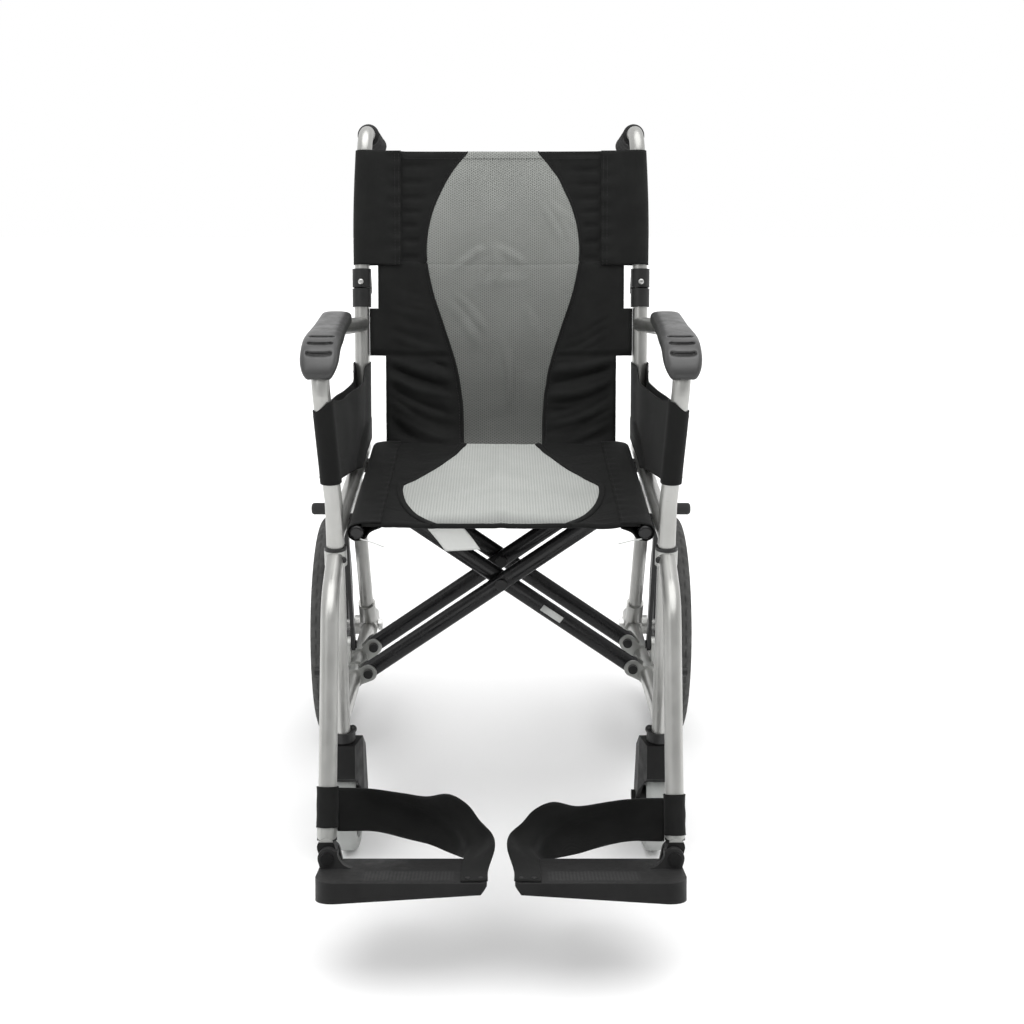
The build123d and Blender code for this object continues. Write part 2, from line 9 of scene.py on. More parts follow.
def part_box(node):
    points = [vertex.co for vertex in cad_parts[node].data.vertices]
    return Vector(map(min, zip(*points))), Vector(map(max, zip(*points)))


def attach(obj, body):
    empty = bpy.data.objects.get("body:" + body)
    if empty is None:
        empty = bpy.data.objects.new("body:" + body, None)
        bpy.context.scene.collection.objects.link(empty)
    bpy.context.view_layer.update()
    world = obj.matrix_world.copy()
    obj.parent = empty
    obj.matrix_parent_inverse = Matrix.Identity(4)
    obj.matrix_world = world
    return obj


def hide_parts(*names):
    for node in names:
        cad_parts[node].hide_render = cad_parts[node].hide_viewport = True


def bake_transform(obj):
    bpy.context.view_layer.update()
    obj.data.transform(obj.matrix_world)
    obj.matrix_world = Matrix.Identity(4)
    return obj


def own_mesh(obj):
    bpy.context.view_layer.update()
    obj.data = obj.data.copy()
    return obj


# Looks of a folding transport wheelchair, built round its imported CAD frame.
# Metres, +X the sitter's left, -Y the front, +Z up.

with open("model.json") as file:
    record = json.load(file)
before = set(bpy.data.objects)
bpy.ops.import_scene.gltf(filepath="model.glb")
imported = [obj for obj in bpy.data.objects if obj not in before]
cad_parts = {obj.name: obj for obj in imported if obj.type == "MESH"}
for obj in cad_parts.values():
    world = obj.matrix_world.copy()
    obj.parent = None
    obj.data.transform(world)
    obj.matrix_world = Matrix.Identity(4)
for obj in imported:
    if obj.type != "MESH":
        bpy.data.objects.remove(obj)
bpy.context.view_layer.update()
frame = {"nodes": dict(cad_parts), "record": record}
SIDES = {"right": -1, "left": 1}


# Places taken from the frame

def middle(node):
    low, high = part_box(node)
    return (low + high) / 2


AXLE = middle("left_rear_tyre")
RAIL = middle("left_seat_rail")
RAIL_R = (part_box("left_seat_rail")[1].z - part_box("left_seat_rail")[0].z) / 2
SEAT_LOW, SEAT_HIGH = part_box("seat_sling")
CANE_X = middle("left_back_cane_lower").x
TUBE_R = CANE_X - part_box("left_back_cane_lower")[0].x
RECLINE = math.radians(13.5)
CANE_UP = Vector((0, math.sin(RECLINE), math.cos(RECLINE)))
CANE_OUT = Vector((0, -math.cos(RECLINE), math.sin(RECLINE)))
HINGE = Vector((0, AXLE.y + 0.03642, 0.697))
HANDLE_LEAN = 0.006 / 0.2314
JOINTS = {joint["name"]: joint for joint in frame["record"]["behaviour"]["joints"]}
BRACE_FOOT = Vector(JOINTS["left_frame_fold"]["pos_m"])
BRACE_CENTRE = Vector(JOINTS["brace_cross"]["pos_m"])
FLIP_DIR = Vector(JOINTS["left_foot_flip"]["axis"])
PLATE_UP = Vector((0, -FLIP_DIR.z, FLIP_DIR.y))

# How far the side frames come together when the chair folds
BRACE_ARM = Vector((BRACE_FOOT.x, 0, BRACE_CENTRE.z - BRACE_FOOT.z))


def at(x, y, z):
    """Point given in millimetres, with y measured from the rear axle."""
    return Vector((x / 1000, AXLE.y + y / 1000, z / 1000))


def on_back(x, up, out):
    """Point of the back: across, up the cane from the hinge, and out towards the sitter."""
    return HINGE + Vector((x, 0, 0)) + CANE_UP * up + CANE_OUT * out


# Curves and meshes

def smooth(value, low, high):
    """Rises from 0 to 1 as the value goes from low to high."""
    t = min(1.0, max(0.0, (value - low) / (high - low)))
    return t * t * (3 - 2 * t)


def spline(stops, value):
    """Smooth value through (key, value) stops, with keys rising."""
    if value <= stops[0][0]:
        return stops[0][1]
    if value >= stops[-1][0]:
        return stops[-1][1]
    i = max(k for k in range(len(stops) - 1) if stops[k][0] <= value)
    (a, p), (b, q) = stops[i], stops[i + 1]

    def slope(k):
        k0, k1 = max(0, k - 1), min(len(stops) - 1, k + 1)
        return (stops[k1][1] - stops[k0][1]) / (stops[k1][0] - stops[k0][0])

    t = (value - a) / (b - a)
    h = b - a
    return ((2 * t**3 - 3 * t**2 + 1) * p + (t**3 - 2 * t**2 + t) * h * slope(i)
            + (3 * t**2 - 2 * t**3) * q + (t**3 - t**2) * h * slope(i + 1))


def through(points, count):
    """Evenly spaced points of a smooth curve through the given ones."""
    keys = [0.0]
    for a, b in zip(points, points[1:]):
        keys.append(keys[-1] + (Vector(b) - Vector(a)).length)
    size = len(points[0])
    tracks = [[(k, p[axis]) for k, p in zip(keys, points)] for axis in range(size)]
    return [Vector([spline(track, keys[-1] * i / (count - 1)) for track in tracks]) for i in range(count)]


def new_object(name, points, faces, materials, kinds=None, smoothed=True):
    mesh = bpy.data.meshes.new(name)
    mesh.from_pydata([tuple(p) for p in points], [], faces)
    for material in materials:
        mesh.materials.append(material)
    if kinds:
        mesh.polygons.foreach_set("material_index", kinds)
    tool = bmesh.new()
    tool.from_mesh(mesh)
    bmesh.ops.recalc_face_normals(tool, faces=tool.faces)
    for face in tool.faces:
        face.smooth = smoothed
    tool.to_mesh(mesh)
    tool.free()
    obj = bpy.data.objects.new(name, mesh)
    bpy.context.scene.collection.objects.link(obj)
    return obj


def apply_modifiers(obj):
    bpy.context.view_layer.update()
    graph = bpy.context.evaluated_depsgraph_get()
    mesh = bpy.data.meshes.new_from_object(obj.evaluated_get(graph))
    obj.modifiers.clear()
    obj.data = mesh
    return obj


def thicken(obj, thickness, offset=0):
    """Gives a surface a thickness, in both directions or, with offset 1, outwards."""
    shell = obj.modifiers.new("thickness", "SOLIDIFY")
    shell.thickness, shell.offset = thickness, offset
    return apply_modifiers(obj)


def crisp(obj, degrees=35):
    """Smooth shading that keeps edges sharper than the given angle."""
    tool = bmesh.new()
    tool.from_mesh(obj.data)
    for edge in tool.edges:
        if len(edge.link_faces) == 2 and edge.calc_face_angle(0) > math.radians(degrees):
            edge.smooth = False
    tool.to_mesh(obj.data)
    tool.free()
    return obj


def skin(name, rings, material, looped=False, capped=True):
    """Surface through rings of equally many points. Looped rings close on the first ring."""
    count = len(rings[0])
    points = [p for ring in rings for p in ring]
    faces = []
    last = len(rings) if looped else len(rings) - 1
    for i in range(last):
        a, b = i * count, (i + 1) % len(rings) * count
        for k in range(count):
            n = (k + 1) % count
            faces.append((a + k, a + n, b + n, b + k))
    if capped and not looped:
        faces.append(tuple(range(count)))
        faces.append(tuple((len(rings) - 1) * count + k for k in range(count)))
    return new_object(name, points, faces, [material])


def grid_faces(rows, columns):
    """Faces of a grid whose points run row by row."""
    return [(i * columns + j, i * columns + j + 1, (i + 1) * columns + j + 1, (i + 1) * columns + j)
            for i in range(rows - 1) for j in range(columns - 1)]


def heading(path, i):
    """Direction of a path at one of its points."""
    return (path[min(i + 1, len(path) - 1)] - path[max(i - 1, 0)]).normalized()


def mirrored(path, sign):
    """The path itself for the left side, or its mirror image for the right."""
    return [Vector((sign * p.x, p.y, p.z)) for p in path]


def frames_along(path):
    """Two unit vectors across the path at each of its points, without twist."""
    tangents = [heading(path, i) for i in range(len(path))]
    start = Vector((0, 0, 1)) if abs(tangents[0].z) < 0.9 else Vector((1, 0, 0))
    side = tangents[0].cross(start).normalized()
    pairs = []
    for tangent in tangents:
        side = (side - tangent * side.dot(tangent)).normalized()
        pairs.append((side, tangent.cross(side)))
    return pairs


def tube(name, path, radius, material, sides=10, tip=0.55):
    """Round bar along a path, rounded off at its ends."""
    rings = []
    pairs = frames_along(path)
    for i, (point, (u, v)) in enumerate(zip(path, pairs)):
        r = radius * (tip if i in (0, len(path) - 1) else 1)
        turns = [2 * math.pi * k / sides for k in range(sides)]
        rings.append([point + u * r * math.cos(t) + v * r * math.sin(t) for t in turns])
    return skin(name, rings, material)


def ribbon(name, path, half_width, half_height, material):
    """Flat band with rounded edges that lies along a path."""
    rings = []
    for i, point in enumerate(path):
        along = heading(path, i)
        across = along.cross(Vector((0, 0, 1))).normalized()
        up = across.cross(along)
        section = [(-1, 0), (-0.8, 1), (-0.3, 1.15), (0.3, 1.15), (0.8, 1), (1, 0), (0.8, -1), (-0.8, -1)]
        rings.append([point + across * half_width * a + up * half_height * b for a, b in section])
    return skin(name, rings, material)


def sheet_between(name, front, back, materials, keep=lambda i, j: True, kind=lambda i, j, layer: 0):
    """Closed cloth from two grids of points, over the cells that keep(row, column) allows.

    kind(row, column, layer) picks the material of a face.
    """
    rows, columns = len(front), len(front[0])
    cells = [(i, j) for i in range(rows - 1) for j in range(columns - 1) if keep(i, j)]
    inside = set(cells)
    index = {}
    points = []

    def corner(layer, i, j):
        key = (layer, i, j)
        if key not in index:
            index[key] = len(points)
            points.append((front, back)[layer][i][j])
        return index[key]

    faces, kinds = [], []
    for i, j in cells:
        loop = [(i, j), (i, j + 1), (i + 1, j + 1), (i + 1, j)]
        for layer in (0, 1):
            faces.append(tuple(corner(layer, *c) for c in loop))
            kinds.append(kind(i, j, layer))
        for a, b, step in zip(loop, loop[1:] + loop[:1], ((-1, 0), (0, 1), (1, 0), (0, -1))):
            if (i + step[0], j + step[1]) not in inside:
                faces.append((corner(0, *a), corner(0, *b), corner(1, *b), corner(1, *a)))
                kinds.append(kind(i, j, 1))
    return new_object(name, points, faces, materials, kinds)


def stitches(name, path, material, pitch=0.0042, length=0.0029, radius=0.00038):
    """Row of thread stitches along a path."""
    points, faces = [], []
    keys = [0.0]
    for a, b in zip(path, path[1:]):
        keys.append(keys[-1] + (b - a).length)

    def where(d):
        i = max(0, min(len(keys) - 2, sum(1 for k in keys if k <= d) - 1))
        t = (d - keys[i]) / max(1e-9, keys[i + 1] - keys[i])
        return path[i].lerp(path[i + 1], min(1, max(0, t)))

    for n in range(int(keys[-1] / pitch)):
        a, b = where(n * pitch), where(n * pitch + length)
        along = (b - a).normalized()
        u = along.cross(Vector((0.3, 0.5, 0.8))).normalized()
        v = along.cross(u)
        base = len(points)
        for centre, r in ((a, 0.4), (a.lerp(b, 0.25), 1), (a.lerp(b, 0.75), 1), (b, 0.4)):
            for k in range(6):
                turn = math.pi * k / 3
                points.append(centre + (u * math.cos(turn) + v * math.sin(turn)) * radius * r)
        for ring in range(3):
            for k in range(6):
                p, q = base + ring * 6, base + ring * 6 + 6
                faces.append((p + k, p + (k + 1) % 6, q + (k + 1) % 6, q + k))
        faces.append(tuple(base + k for k in range(6)))
        faces.append(tuple(base + 18 + k for k in range(6)))
    return new_object(name, points, faces, [material])


def carry(obj, body):
    """Makes a piece move with a body."""
    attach(obj, body)
    return obj


# Materials

def grey(tone):
    """Colour of a plain grey, or the colour itself."""
    return tone if isinstance(tone, tuple) else (tone, tone, tone)


class Look:
    """A material with one Principled shader and helpers for its nodes."""

    def __init__(self, name, metallic=0.0, **sockets):
        self.material = bpy.data.materials.new(name)
        self.material.use_nodes = True
        self.tree = self.material.node_tree
        self.shader = self.tree.nodes["Principled BSDF"]
        self.shader.inputs["Metallic"].default_value = metallic
        for socket, value in sockets.items():
            self.shader.inputs[socket.replace("_", " ")].default_value = value
        self.place = self.node("ShaderNodeTexCoord").outputs["Object"]
        self.axes = self.node("ShaderNodeSeparateXYZ", {0: self.place}).outputs

    def node(self, kind, inputs=(), **values):
        made = self.tree.nodes.new(kind)
        for key, value in values.items():
            setattr(made, key, value)
        for key, value in dict(inputs).items():
            if isinstance(value, bpy.types.NodeSocket):
                self.tree.links.new(value, made.inputs[key])
            else:
                made.inputs[key].default_value = value
        return made

    def finish(self, tone, rough, height, depth, strength=1.0, metallic=None):
        """Joins the colour, roughness and bump to the shader and returns the material."""
        bump = self.node("ShaderNodeBump", {"Height": height, "Distance": depth, "Strength": strength})
        links = {"Base Color": tone, "Roughness": rough, "Normal": bump.outputs[0], "Metallic": metallic}
        for socket, value in links.items():
            if isinstance(value, bpy.types.NodeSocket):
                self.tree.links.new(value, self.shader.inputs[socket])
            elif value is not None:
                self.shader.inputs[socket].default_value = value
        return self.material

    def math(self, operation, a, b=0.0, c=0.0):
        return self.node("ShaderNodeMath", {0: a, 1: b, 2: c}, operation=operation).outputs[0]

    def times(self, first, *others):
        for other in others:
            first = self.math("MULTIPLY", first, other)
        return first

    def plus(self, a, b):
        return self.math("ADD", a, b)

    def wave(self, value):
        """A sine between 0 and 1."""
        return self.math("MULTIPLY_ADD", value, 0.5, 0.5)

    def noise(self, scale, detail=3.0, roughness=0.55, stretch=None):
        place = self.place
        if stretch:
            place = self.node("ShaderNodeMapping", {"Vector": place, "Scale": stretch}).outputs[0]
        inputs = {"Vector": place, "Scale": scale, "Detail": detail, "Roughness": roughness}
        return self.node("ShaderNodeTexNoise", inputs).outputs["Fac"]

    def ramp(self, value, low, high, start=0, end=1):
        """Value between start and end as the input goes from low to high."""
        return self.node("ShaderNodeMapRange", {0: value, 1: low, 2: high, 3: start, 4: end}).outputs[0]

    def mix(self, share, a, b):
        colours = {6: a, 7: b}
        for key, value in colours.items():
            if not isinstance(value, bpy.types.NodeSocket):
                colours[key] = (*grey(value), 1)
        return self.node("ShaderNodeMix", {0: share, **colours}, data_type="RGBA").outputs[2]

    def mix_value(self, share, a, b):
        return self.math("MULTIPLY_ADD", share, self.math("SUBTRACT", b, a), a)

    def above(self, value, limit, soft=0.0004):
        return self.ramp(value, limit - soft, limit + soft)

    def below(self, value, limit, soft=0.0004):
        return self.ramp(value, limit - soft, limit + soft, 1, 0)

    def within(self, value, low, high, soft=0.0004):
        return self.times(self.above(value, low, soft), self.below(value, high, soft))

    def width(self):
        return self.math("ABSOLUTE", self.axes["X"])

    def near(self, a, b, centre, radius):
        """1 inside a circle in the plane of two coordinates."""
        da, db = self.math("SUBTRACT", a, centre[0]), self.math("SUBTRACT", b, centre[1])
        square = self.plus(self.times(da, da), self.times(db, db))
        return self.below(self.math("SQRT", square), radius)


SILVER_TONE = (0.40, 0.405, 0.39)
BLACK_TONE = (0.009, 0.009, 0.0095)


def frame_silver():
    look = Look("frame_silver", metallic=0.85)
    tone = look.mix(look.ramp(look.noise(14, 4), 0.35, 0.7), (0.39, 0.39, 0.375), (0.455, 0.455, 0.44))
    scuff = look.ramp(look.noise(60, 6, 0.7, (1, 1, 6)), 0.66, 0.74, 0, 0.35)
    rough = look.ramp(look.noise(40, 4), 0.3, 0.7, 0.28, 0.42)
    return look.finish(look.mix(scuff, tone, (0.28, 0.28, 0.27)), rough, look.noise(2600, 2), 0.00008, 0.35)


def gloss_black():
    look = Look("brace_black", Specular_IOR_Level=0.35)
    dust = look.ramp(look.noise(90, 6, 0.65), 0.64, 0.8)
    rough = look.ramp(look.noise(35, 5), 0.3, 0.75, 0.16, 0.34)
    return look.finish(look.mix(dust, BLACK_TONE, 0.03), rough, look.noise(700, 2), 0.00006, 0.25)


def steel():
    look = Look("steel", metallic=1.0)
    streak = look.noise(220, 3, 0.6, (1, 1, 12))
    tone = look.mix(look.ramp(look.noise(50, 5), 0.4, 0.75), (0.6, 0.6, 0.59), (0.42, 0.42, 0.41))
    return look.finish(tone, look.ramp(streak, 0.3, 0.7, 0.2, 0.42), streak, 0.00005, 0.4)


def moulded(name, dark, light, roughness, grain, depth, shine=0.4, marks=None):
    """Moulded plastic or rubber with a fine grain and paler worn patches. marks adds other finishes."""
    look = Look(name, Specular_IOR_Level=shine)
    tone = look.mix(look.ramp(look.noise(22, 5), 0.35, 0.75), dark, light)
    rough = look.ramp(look.noise(60, 4), 0.3, 0.7, roughness - 0.07, roughness + 0.09)
    cells = look.node("ShaderNodeTexVoronoi", {"Vector": look.place, "Scale": grain}).outputs["Distance"]
    metal = None
    if marks:
        tone, rough, metal = marks(look, tone, rough)
    return look.finish(tone, rough, cells, depth, 0.5, metal)


def bracket_marks(look, tone, rough):
    """Silver brace plates and leg collar, with black bolts."""
    wide, y, z = look.width(), look.axes["Y"], look.axes["Z"]
    bolt = look.near(wide, z, (BRACE_FOOT.x, BRACE_FOOT.z), 0.0068)
    collar = look.times(look.within(z, 0.424, 0.446), look.below(y, AXLE.y - 0.3925, 0.0025))
    stations = look.math("ABSOLUTE", look.math("SUBTRACT", y, AXLE.y - 0.195))
    plates = look.times(look.within(z, 0.12, 0.262), look.below(wide, 0.225, 0.0005),
                        look.below(stations, 0.0855, 0.0005), look.math("SUBTRACT", 1.0, bolt))
    silver = look.math("MAXIMUM", plates, collar)
    return look.mix(silver, tone, SILVER_TONE), look.mix_value(silver, rough, 0.36), look.times(silver, 0.8)


def pad_rim_shade(look, tone, rough):
    """Painted shade on the lower rim of the arm pads, which is also duller."""
    rim = look.ramp(look.axes["Z"], 0.666, 0.684, 1, 0)
    return look.mix(look.times(rim, 0.75), tone, 0.006), look.mix_value(rim, rough, 0.6), None


def lever_marks(look, tone, rough):
    """Rubber on the hand end of the brake lever."""
    hand = look.times(look.above(look.width(), 0.234), look.above(look.axes["Z"], 0.40))
    return look.mix(hand, tone, 0.022), look.mix_value(hand, rough, 0.72), None


def socket_marks(look, tone, rough):
    """The foot plate's bracket, with its bare metal socket above the hinge."""
    bare = look.above(look.axes["Z"], 0.1515)
    return look.mix(bare, tone, SILVER_TONE), look.mix_value(bare, rough, 0.4), look.times(bare, 0.8)


def plate_lit_face(look, tone, rough):
    """Tread face painted paler than the darker rim, as painted light on the upward face, with fine ribs along
    its front drawn as paler stripes.
    """
    wide, y, z = look.width(), look.axes["Y"], look.axes["Z"]
    rise = look.plus(look.times(y, PLATE_UP.y), look.times(z, PLATE_UP.z))
    ribs = look.wave(look.math("SINE", look.times(wide, 2 * math.pi / 0.0042)))
    front = look.within(y, AXLE.y - 0.690, AXLE.y - 0.655, 0.002)
    tread = look.mix(look.times(ribs, look.within(wide, 0.055, 0.160, 0.002), front), 0.021, 0.040)
    # Painted light: the tread face above PLATE_FACE is paler than the rim below it
    return look.mix(look.above(rise, PLATE_FACE, 0.0006), tone, tread), rough, None


def tyre_rubber():
    look = Look("rear_tyre", Specular_IOR_Level=0.3)
    dust = look.ramp(look.noise(45, 6, 0.65), 0.38, 0.72)
    tone = look.mix(dust, (0.048, 0.048, 0.047), (0.078, 0.078, 0.076))
    rough = look.ramp(look.noise(80, 4), 0.3, 0.7, 0.66, 0.85)
    return look.finish(tone, rough, look.noise(1400, 3), 0.00015, 0.5)


def woven(name, plane, dark=0.0035, light=0.007, thread=0.011):
    """Black plain-weave nylon. plane names the two axes that its threads run along."""
    look = Look(name, Specular_IOR_Level=0.17, Sheen_Weight=0.04, Sheen_Roughness=0.4)
    pitch = 2 * math.pi / 0.0013
    weave = look.wave(look.times(*(look.math("SINE", look.times(look.axes[axis], pitch)) for axis in plane)))
    cloud = look.ramp(look.noise(26, 5), 0.35, 0.7)
    tone = look.mix(cloud, (dark, dark * 1.03, dark), (light, light * 1.03, light * 0.98))
    tone = look.mix(look.times(weave, 0.5), tone, (thread, thread * 1.03, thread))
    return look.finish(tone, look.ramp(weave, 0, 1, 0.85, 0.68), weave, 0.0003, 0.6)


def spacer_mesh(name, plane, pitch, yarn, hole, shade):
    """Grey knitted spacer mesh with rows of small staggered holes. shade darkens it along one axis."""
    look = Look(name, Specular_IOR_Level=0.25, Sheen_Weight=0.12, Sheen_Roughness=0.5)
    k = 4 * math.pi / math.sqrt(3) / pitch
    waves = []
    for turn in (0, 60, 120):
        c, s = math.cos(math.radians(turn)), math.sin(math.radians(turn))
        line = look.plus(look.times(look.axes[plane[0]], k * c), look.times(look.axes[plane[1]], k * s))
        waves.append(look.math("COSINE", line))
    hollow = look.ramp(look.plus(look.plus(waves[0], waves[1]), waves[2]), 0.4, 2.1)
    yarns = look.mix(look.ramp(look.noise(18, 4), 0.35, 0.7), yarn, tuple(min(1, c * 1.1) for c in yarn))
    axis, low, high, least = shade
    tone = look.mix(look.ramp(look.axes[axis], low, high, 1 - least, 0), look.mix(hollow, yarns, hole), 0.0)
    height = look.math("SUBTRACT", look.times(look.noise(2400, 2), 0.3), hollow)
    return look.finish(tone, look.ramp(hollow, 0, 1, 0.75, 0.95), height, 0.0005, 0.6)


def paper(name, colour):
    look = Look(name)
    tone = look.mix(look.noise(300, 4), tuple(c * 0.93 for c in colour), colour)
    return look.finish(tone, 0.6, look.noise(900, 3), 0.0001, 0.4)


PLATE_FACE = PLATE_UP.dot(at(204, -602.5, 115.8)) - 0.0008
SILVER = frame_silver()
GLOSS = gloss_black()
STEEL = steel()
PLASTIC = moulded("black_plastic", 0.008, 0.014, 0.42, 1500, 0.0001)
BRACKETS = moulded("black_brackets", 0.008, 0.014, 0.42, 1500, 0.0001, marks=bracket_marks)
LEVER = moulded("black_lever", 0.008, 0.014, 0.45, 1500, 0.0001, marks=lever_marks)
FORK = moulded("fork_plastic", 0.006, 0.011, 0.5, 1200, 0.00012, 0.2)
SOCKET = moulded("foot_bracket", 0.006, 0.011, 0.5, 1200, 0.00012, 0.2, socket_marks)
FOOT_PLASTIC = moulded("foot_plastic", 0.006, 0.011, 0.5, 1200, 0.00012, 0.2, plate_lit_face)
# Arm pads, with painted shade darkening their lower rim
PAD_PLASTIC = moulded("pad_plastic", 0.026, 0.038, 0.36, 1300, 0.0001, 0.7, pad_rim_shade)
RUBBER = moulded("grip_rubber", 0.014, 0.022, 0.68, 1700, 0.00012, 0.3)
RIM = moulded("rim_grey", 0.035, 0.055, 0.45, 900, 0.0001)
CASTER_TREAD = moulded("caster_tread", (0.30, 0.31, 0.30), (0.38, 0.39, 0.38), 0.62, 1000, 0.0001)
TYRE = tyre_rubber()
BACK_CLOTH = woven("black_fabric_back", "XZ", 0.0055, 0.011, 0.017)
SEAT_CLOTH = woven("black_fabric_seat", "XY")
GUARD_CLOTH = woven("black_fabric_guard", "YZ")
# Painted shade: the back's mesh darkens towards its foot and is palest at its top, where light falls from
# above
BACK_MESH = spacer_mesh("grey_mesh_back", "XZ", 0.0036, (0.31, 0.32, 0.303), (0.15, 0.156, 0.147),
                        ("Z", 0.494, 0.90, 0.33))
# Painted light: the seat's mesh has paler yarns than the back's, for the light that falls on it from above.
# It also darkens towards its front edge
SEAT_MESH = spacer_mesh("grey_mesh_seat", "XY", 0.0044, (0.41, 0.422, 0.404), (0.26, 0.269, 0.258),
                        ("Y", SEAT_LOW.y, SEAT_LOW.y + 0.055, 0.5))
THREAD = moulded("thread", 0.02, 0.035, 0.6, 3000, 0.0001, 0.2)
TAG = paper("tag_white", (0.62, 0.63, 0.61))

SIDE_LOOKS = {
    SILVER: ("arm_frame_tube", "seat_side_tube", "lower_side_tube", "rear_strut", "back_cane_lower",
             "back_cane_upper", "axle_bracket", "leg_tube"),
    PLASTIC: ("caster_housing", "hinge_lower", "hinge_upper"),
    STEEL: ("wheel_bearings", "rear_axle"),
    RIM: ("caster_hub", "rear_rim"),
    FORK: ("caster_fork",),
    CASTER_TREAD: ("caster_tyre",),
    SOCKET: ("footplate_bracket",),
    FOOT_PLASTIC: ("footplate",),
    LEVER: ("brake_lever",),
    BRACKETS: ("frame_brackets",),
    GLOSS: ("seat_rail", "brace_arm"),
}


def dress(node, material):
    """Gives every face of a frame piece one material."""
    obj = frame["nodes"][node]
    if not obj.material_slots:
        obj.data.materials.append(material)
    for slot in obj.material_slots:
        slot.material = material


for side in SIDES:
    for material, nodes in SIDE_LOOKS.items():
        for node in nodes:
            dress(f"{side}_{node}", material)
dress("brace_centre_bolts", PLASTIC)


# Back upholstery. Widths are halves, heights run up the cane from the hinge.

BACK_FOOT, BACK_TOP = -0.240, 0.201
BACK_ROWS = 126
SLEEVE_FOOT = 0.034
SEAM_X = 0.148
LOWER_X = 0.172
SHOULDER_X = 0.1955
SHOULDER_FOOT = -0.099
NOTCH_FOOT = -0.030
NOTCH_X = 0.183
UPPER_X = 0.187
LAP = 0.0416
PANEL_SHIFT = 0.003
BACK_PANEL = [(-0.240, 0.060), (-0.17, 0.062), (-0.115, 0.0705), (-0.057, 0.0885), (0.0, 0.107),
              (0.055, 0.1155), (0.108, 0.108), (0.154, 0.088), (0.18, 0.071), (0.201, 0.052)]
MESH_COLUMNS = 64
STRIP_COLUMNS = 16
OUTER_X = [0.154, 0.160, 0.166, LOWER_X, 0.1775, NOTCH_X, UPPER_X, SHOULDER_X]


def back_columns(up):
    """Places across the back of one row of the cloth's grid."""
    w = spline(BACK_PANEL, up)
    inner = [w * (2 * k / MESH_COLUMNS - 1) + PANEL_SHIFT for k in range(MESH_COLUMNS + 1)]
    right, left = [], []
    for k in range(1, STRIP_COLUMNS + 1):
        t = k / STRIP_COLUMNS
        right.append(-w + PANEL_SHIFT + (w - PANEL_SHIFT - SEAM_X) * t)
        left.append(w + PANEL_SHIFT + (SEAM_X - w - PANEL_SHIFT) * t)
    return [-x for x in reversed(OUTER_X)] + list(reversed(right)) + inner + left + OUTER_X


def back_seed(x, up):
    """Slack shape of the back before the cloth settles, as a distance out from the canes."""
    a = abs(x)
    w = spline(BACK_PANEL, up)
    out = -0.007 * (1 - min(1, a / 0.19) ** 2)
    side = smooth(a, w + 0.003, w + 0.02) * (1 - smooth(a, LOWER_X - 0.02, LOWER_X - 0.002))
    place = Vector((x * 9, up * 9, 2.7))
    slant = -up - 0.55 * (LOWER_X - a)
    if up < SHOULDER_FOOT:
        fade = smooth(-up, -SHOULDER_FOOT, -SHOULDER_FOOT + 0.014) * (1 - smooth(-up, 0.215, 0.238))
        turn = slant / 0.046 + 0.9 * noise.noise(place) + (0.35 if x > 0 else 0)
        out += (0.0050 + 0.0030 * noise.noise(place * 2)) * side * fade * math.sin(2 * math.pi * turn)
    elif up < LAP:
        fade = smooth(-up, -0.03, 0.0) * (1 - smooth(-up, -SHOULDER_FOOT - 0.012, -SHOULDER_FOOT))
        turn = slant / 0.052 + 1.1 * noise.noise(place * 1.3)
        out += 0.0022 * side * fade * math.sin(2 * math.pi * turn)
    out += 0.0012 * noise.noise(Vector((x * 22, up * 22, 3.1)))
    return out


# Creases of the grey mesh: two ends as (across, up), height and half width, in millimetres
CREASES = [(-33, 66, -31, 6, 2.6, 5), (-7, 60, -9, 8, 2.6, 5), (-66, 30, -20, 62, 2.0, 5),
           (-12, 63, 36, 36, 2.0, 5), (58, 128, 92, 62, 1.7, 5), (70, 132, 106, 66, 1.7, 5),
           (84, 120, 110, 88, 1.4, 4), (-80, -18, -34, -86, 1.7, 6), (-70, -6, -24, -62, 1.7, 5),
           (2, -70, 20, -205, 2.0, 5), (14, -84, 9, -190, 1.5, 4), (76, 196, 82, 132, 1.6, 5),
           (-40, 6, 44, 14, 1.2, 8), (30, -20, 52, -70, 1.2, 6)]


def creases(x, up):
    """Height of the mesh's creases at one place: a ridge with a shallow valley beside it."""
    total = 0.0
    for x0, up0, x1, up1, size, width in CREASES:
        a, b = Vector((x0 / 1000, up0 / 1000)), Vector((x1 / 1000, up1 / 1000))
        line, off = b - a, Vector((x, up)) - a
        t = off.dot(line) / line.length_squared
        if -0.1 < t < 1.1:
            bow = 0.003 * math.sin(math.pi * t)
            away = (line.x * off.y - line.y * off.x) / line.length - bow
            fade = smooth(t, -0.1, 0.25) * (1 - smooth(t, 0.7, 1.1))
            q = away / (width / 1000)
            total += size / 1000 * fade * (math.exp(-q * q) - 0.4 * math.exp(-(q - 1.9) ** 2))
    return total


CLOTH = dict(quality=6, mass=0.15, tension_stiffness=12, compression_stiffness=12, shear_stiffness=3,
             bending_stiffness=0.25, vertex_group_mass="pins", pin_stiffness=1, vertex_group_shrink="loose",
             shrink_min=0, air_damping=2)


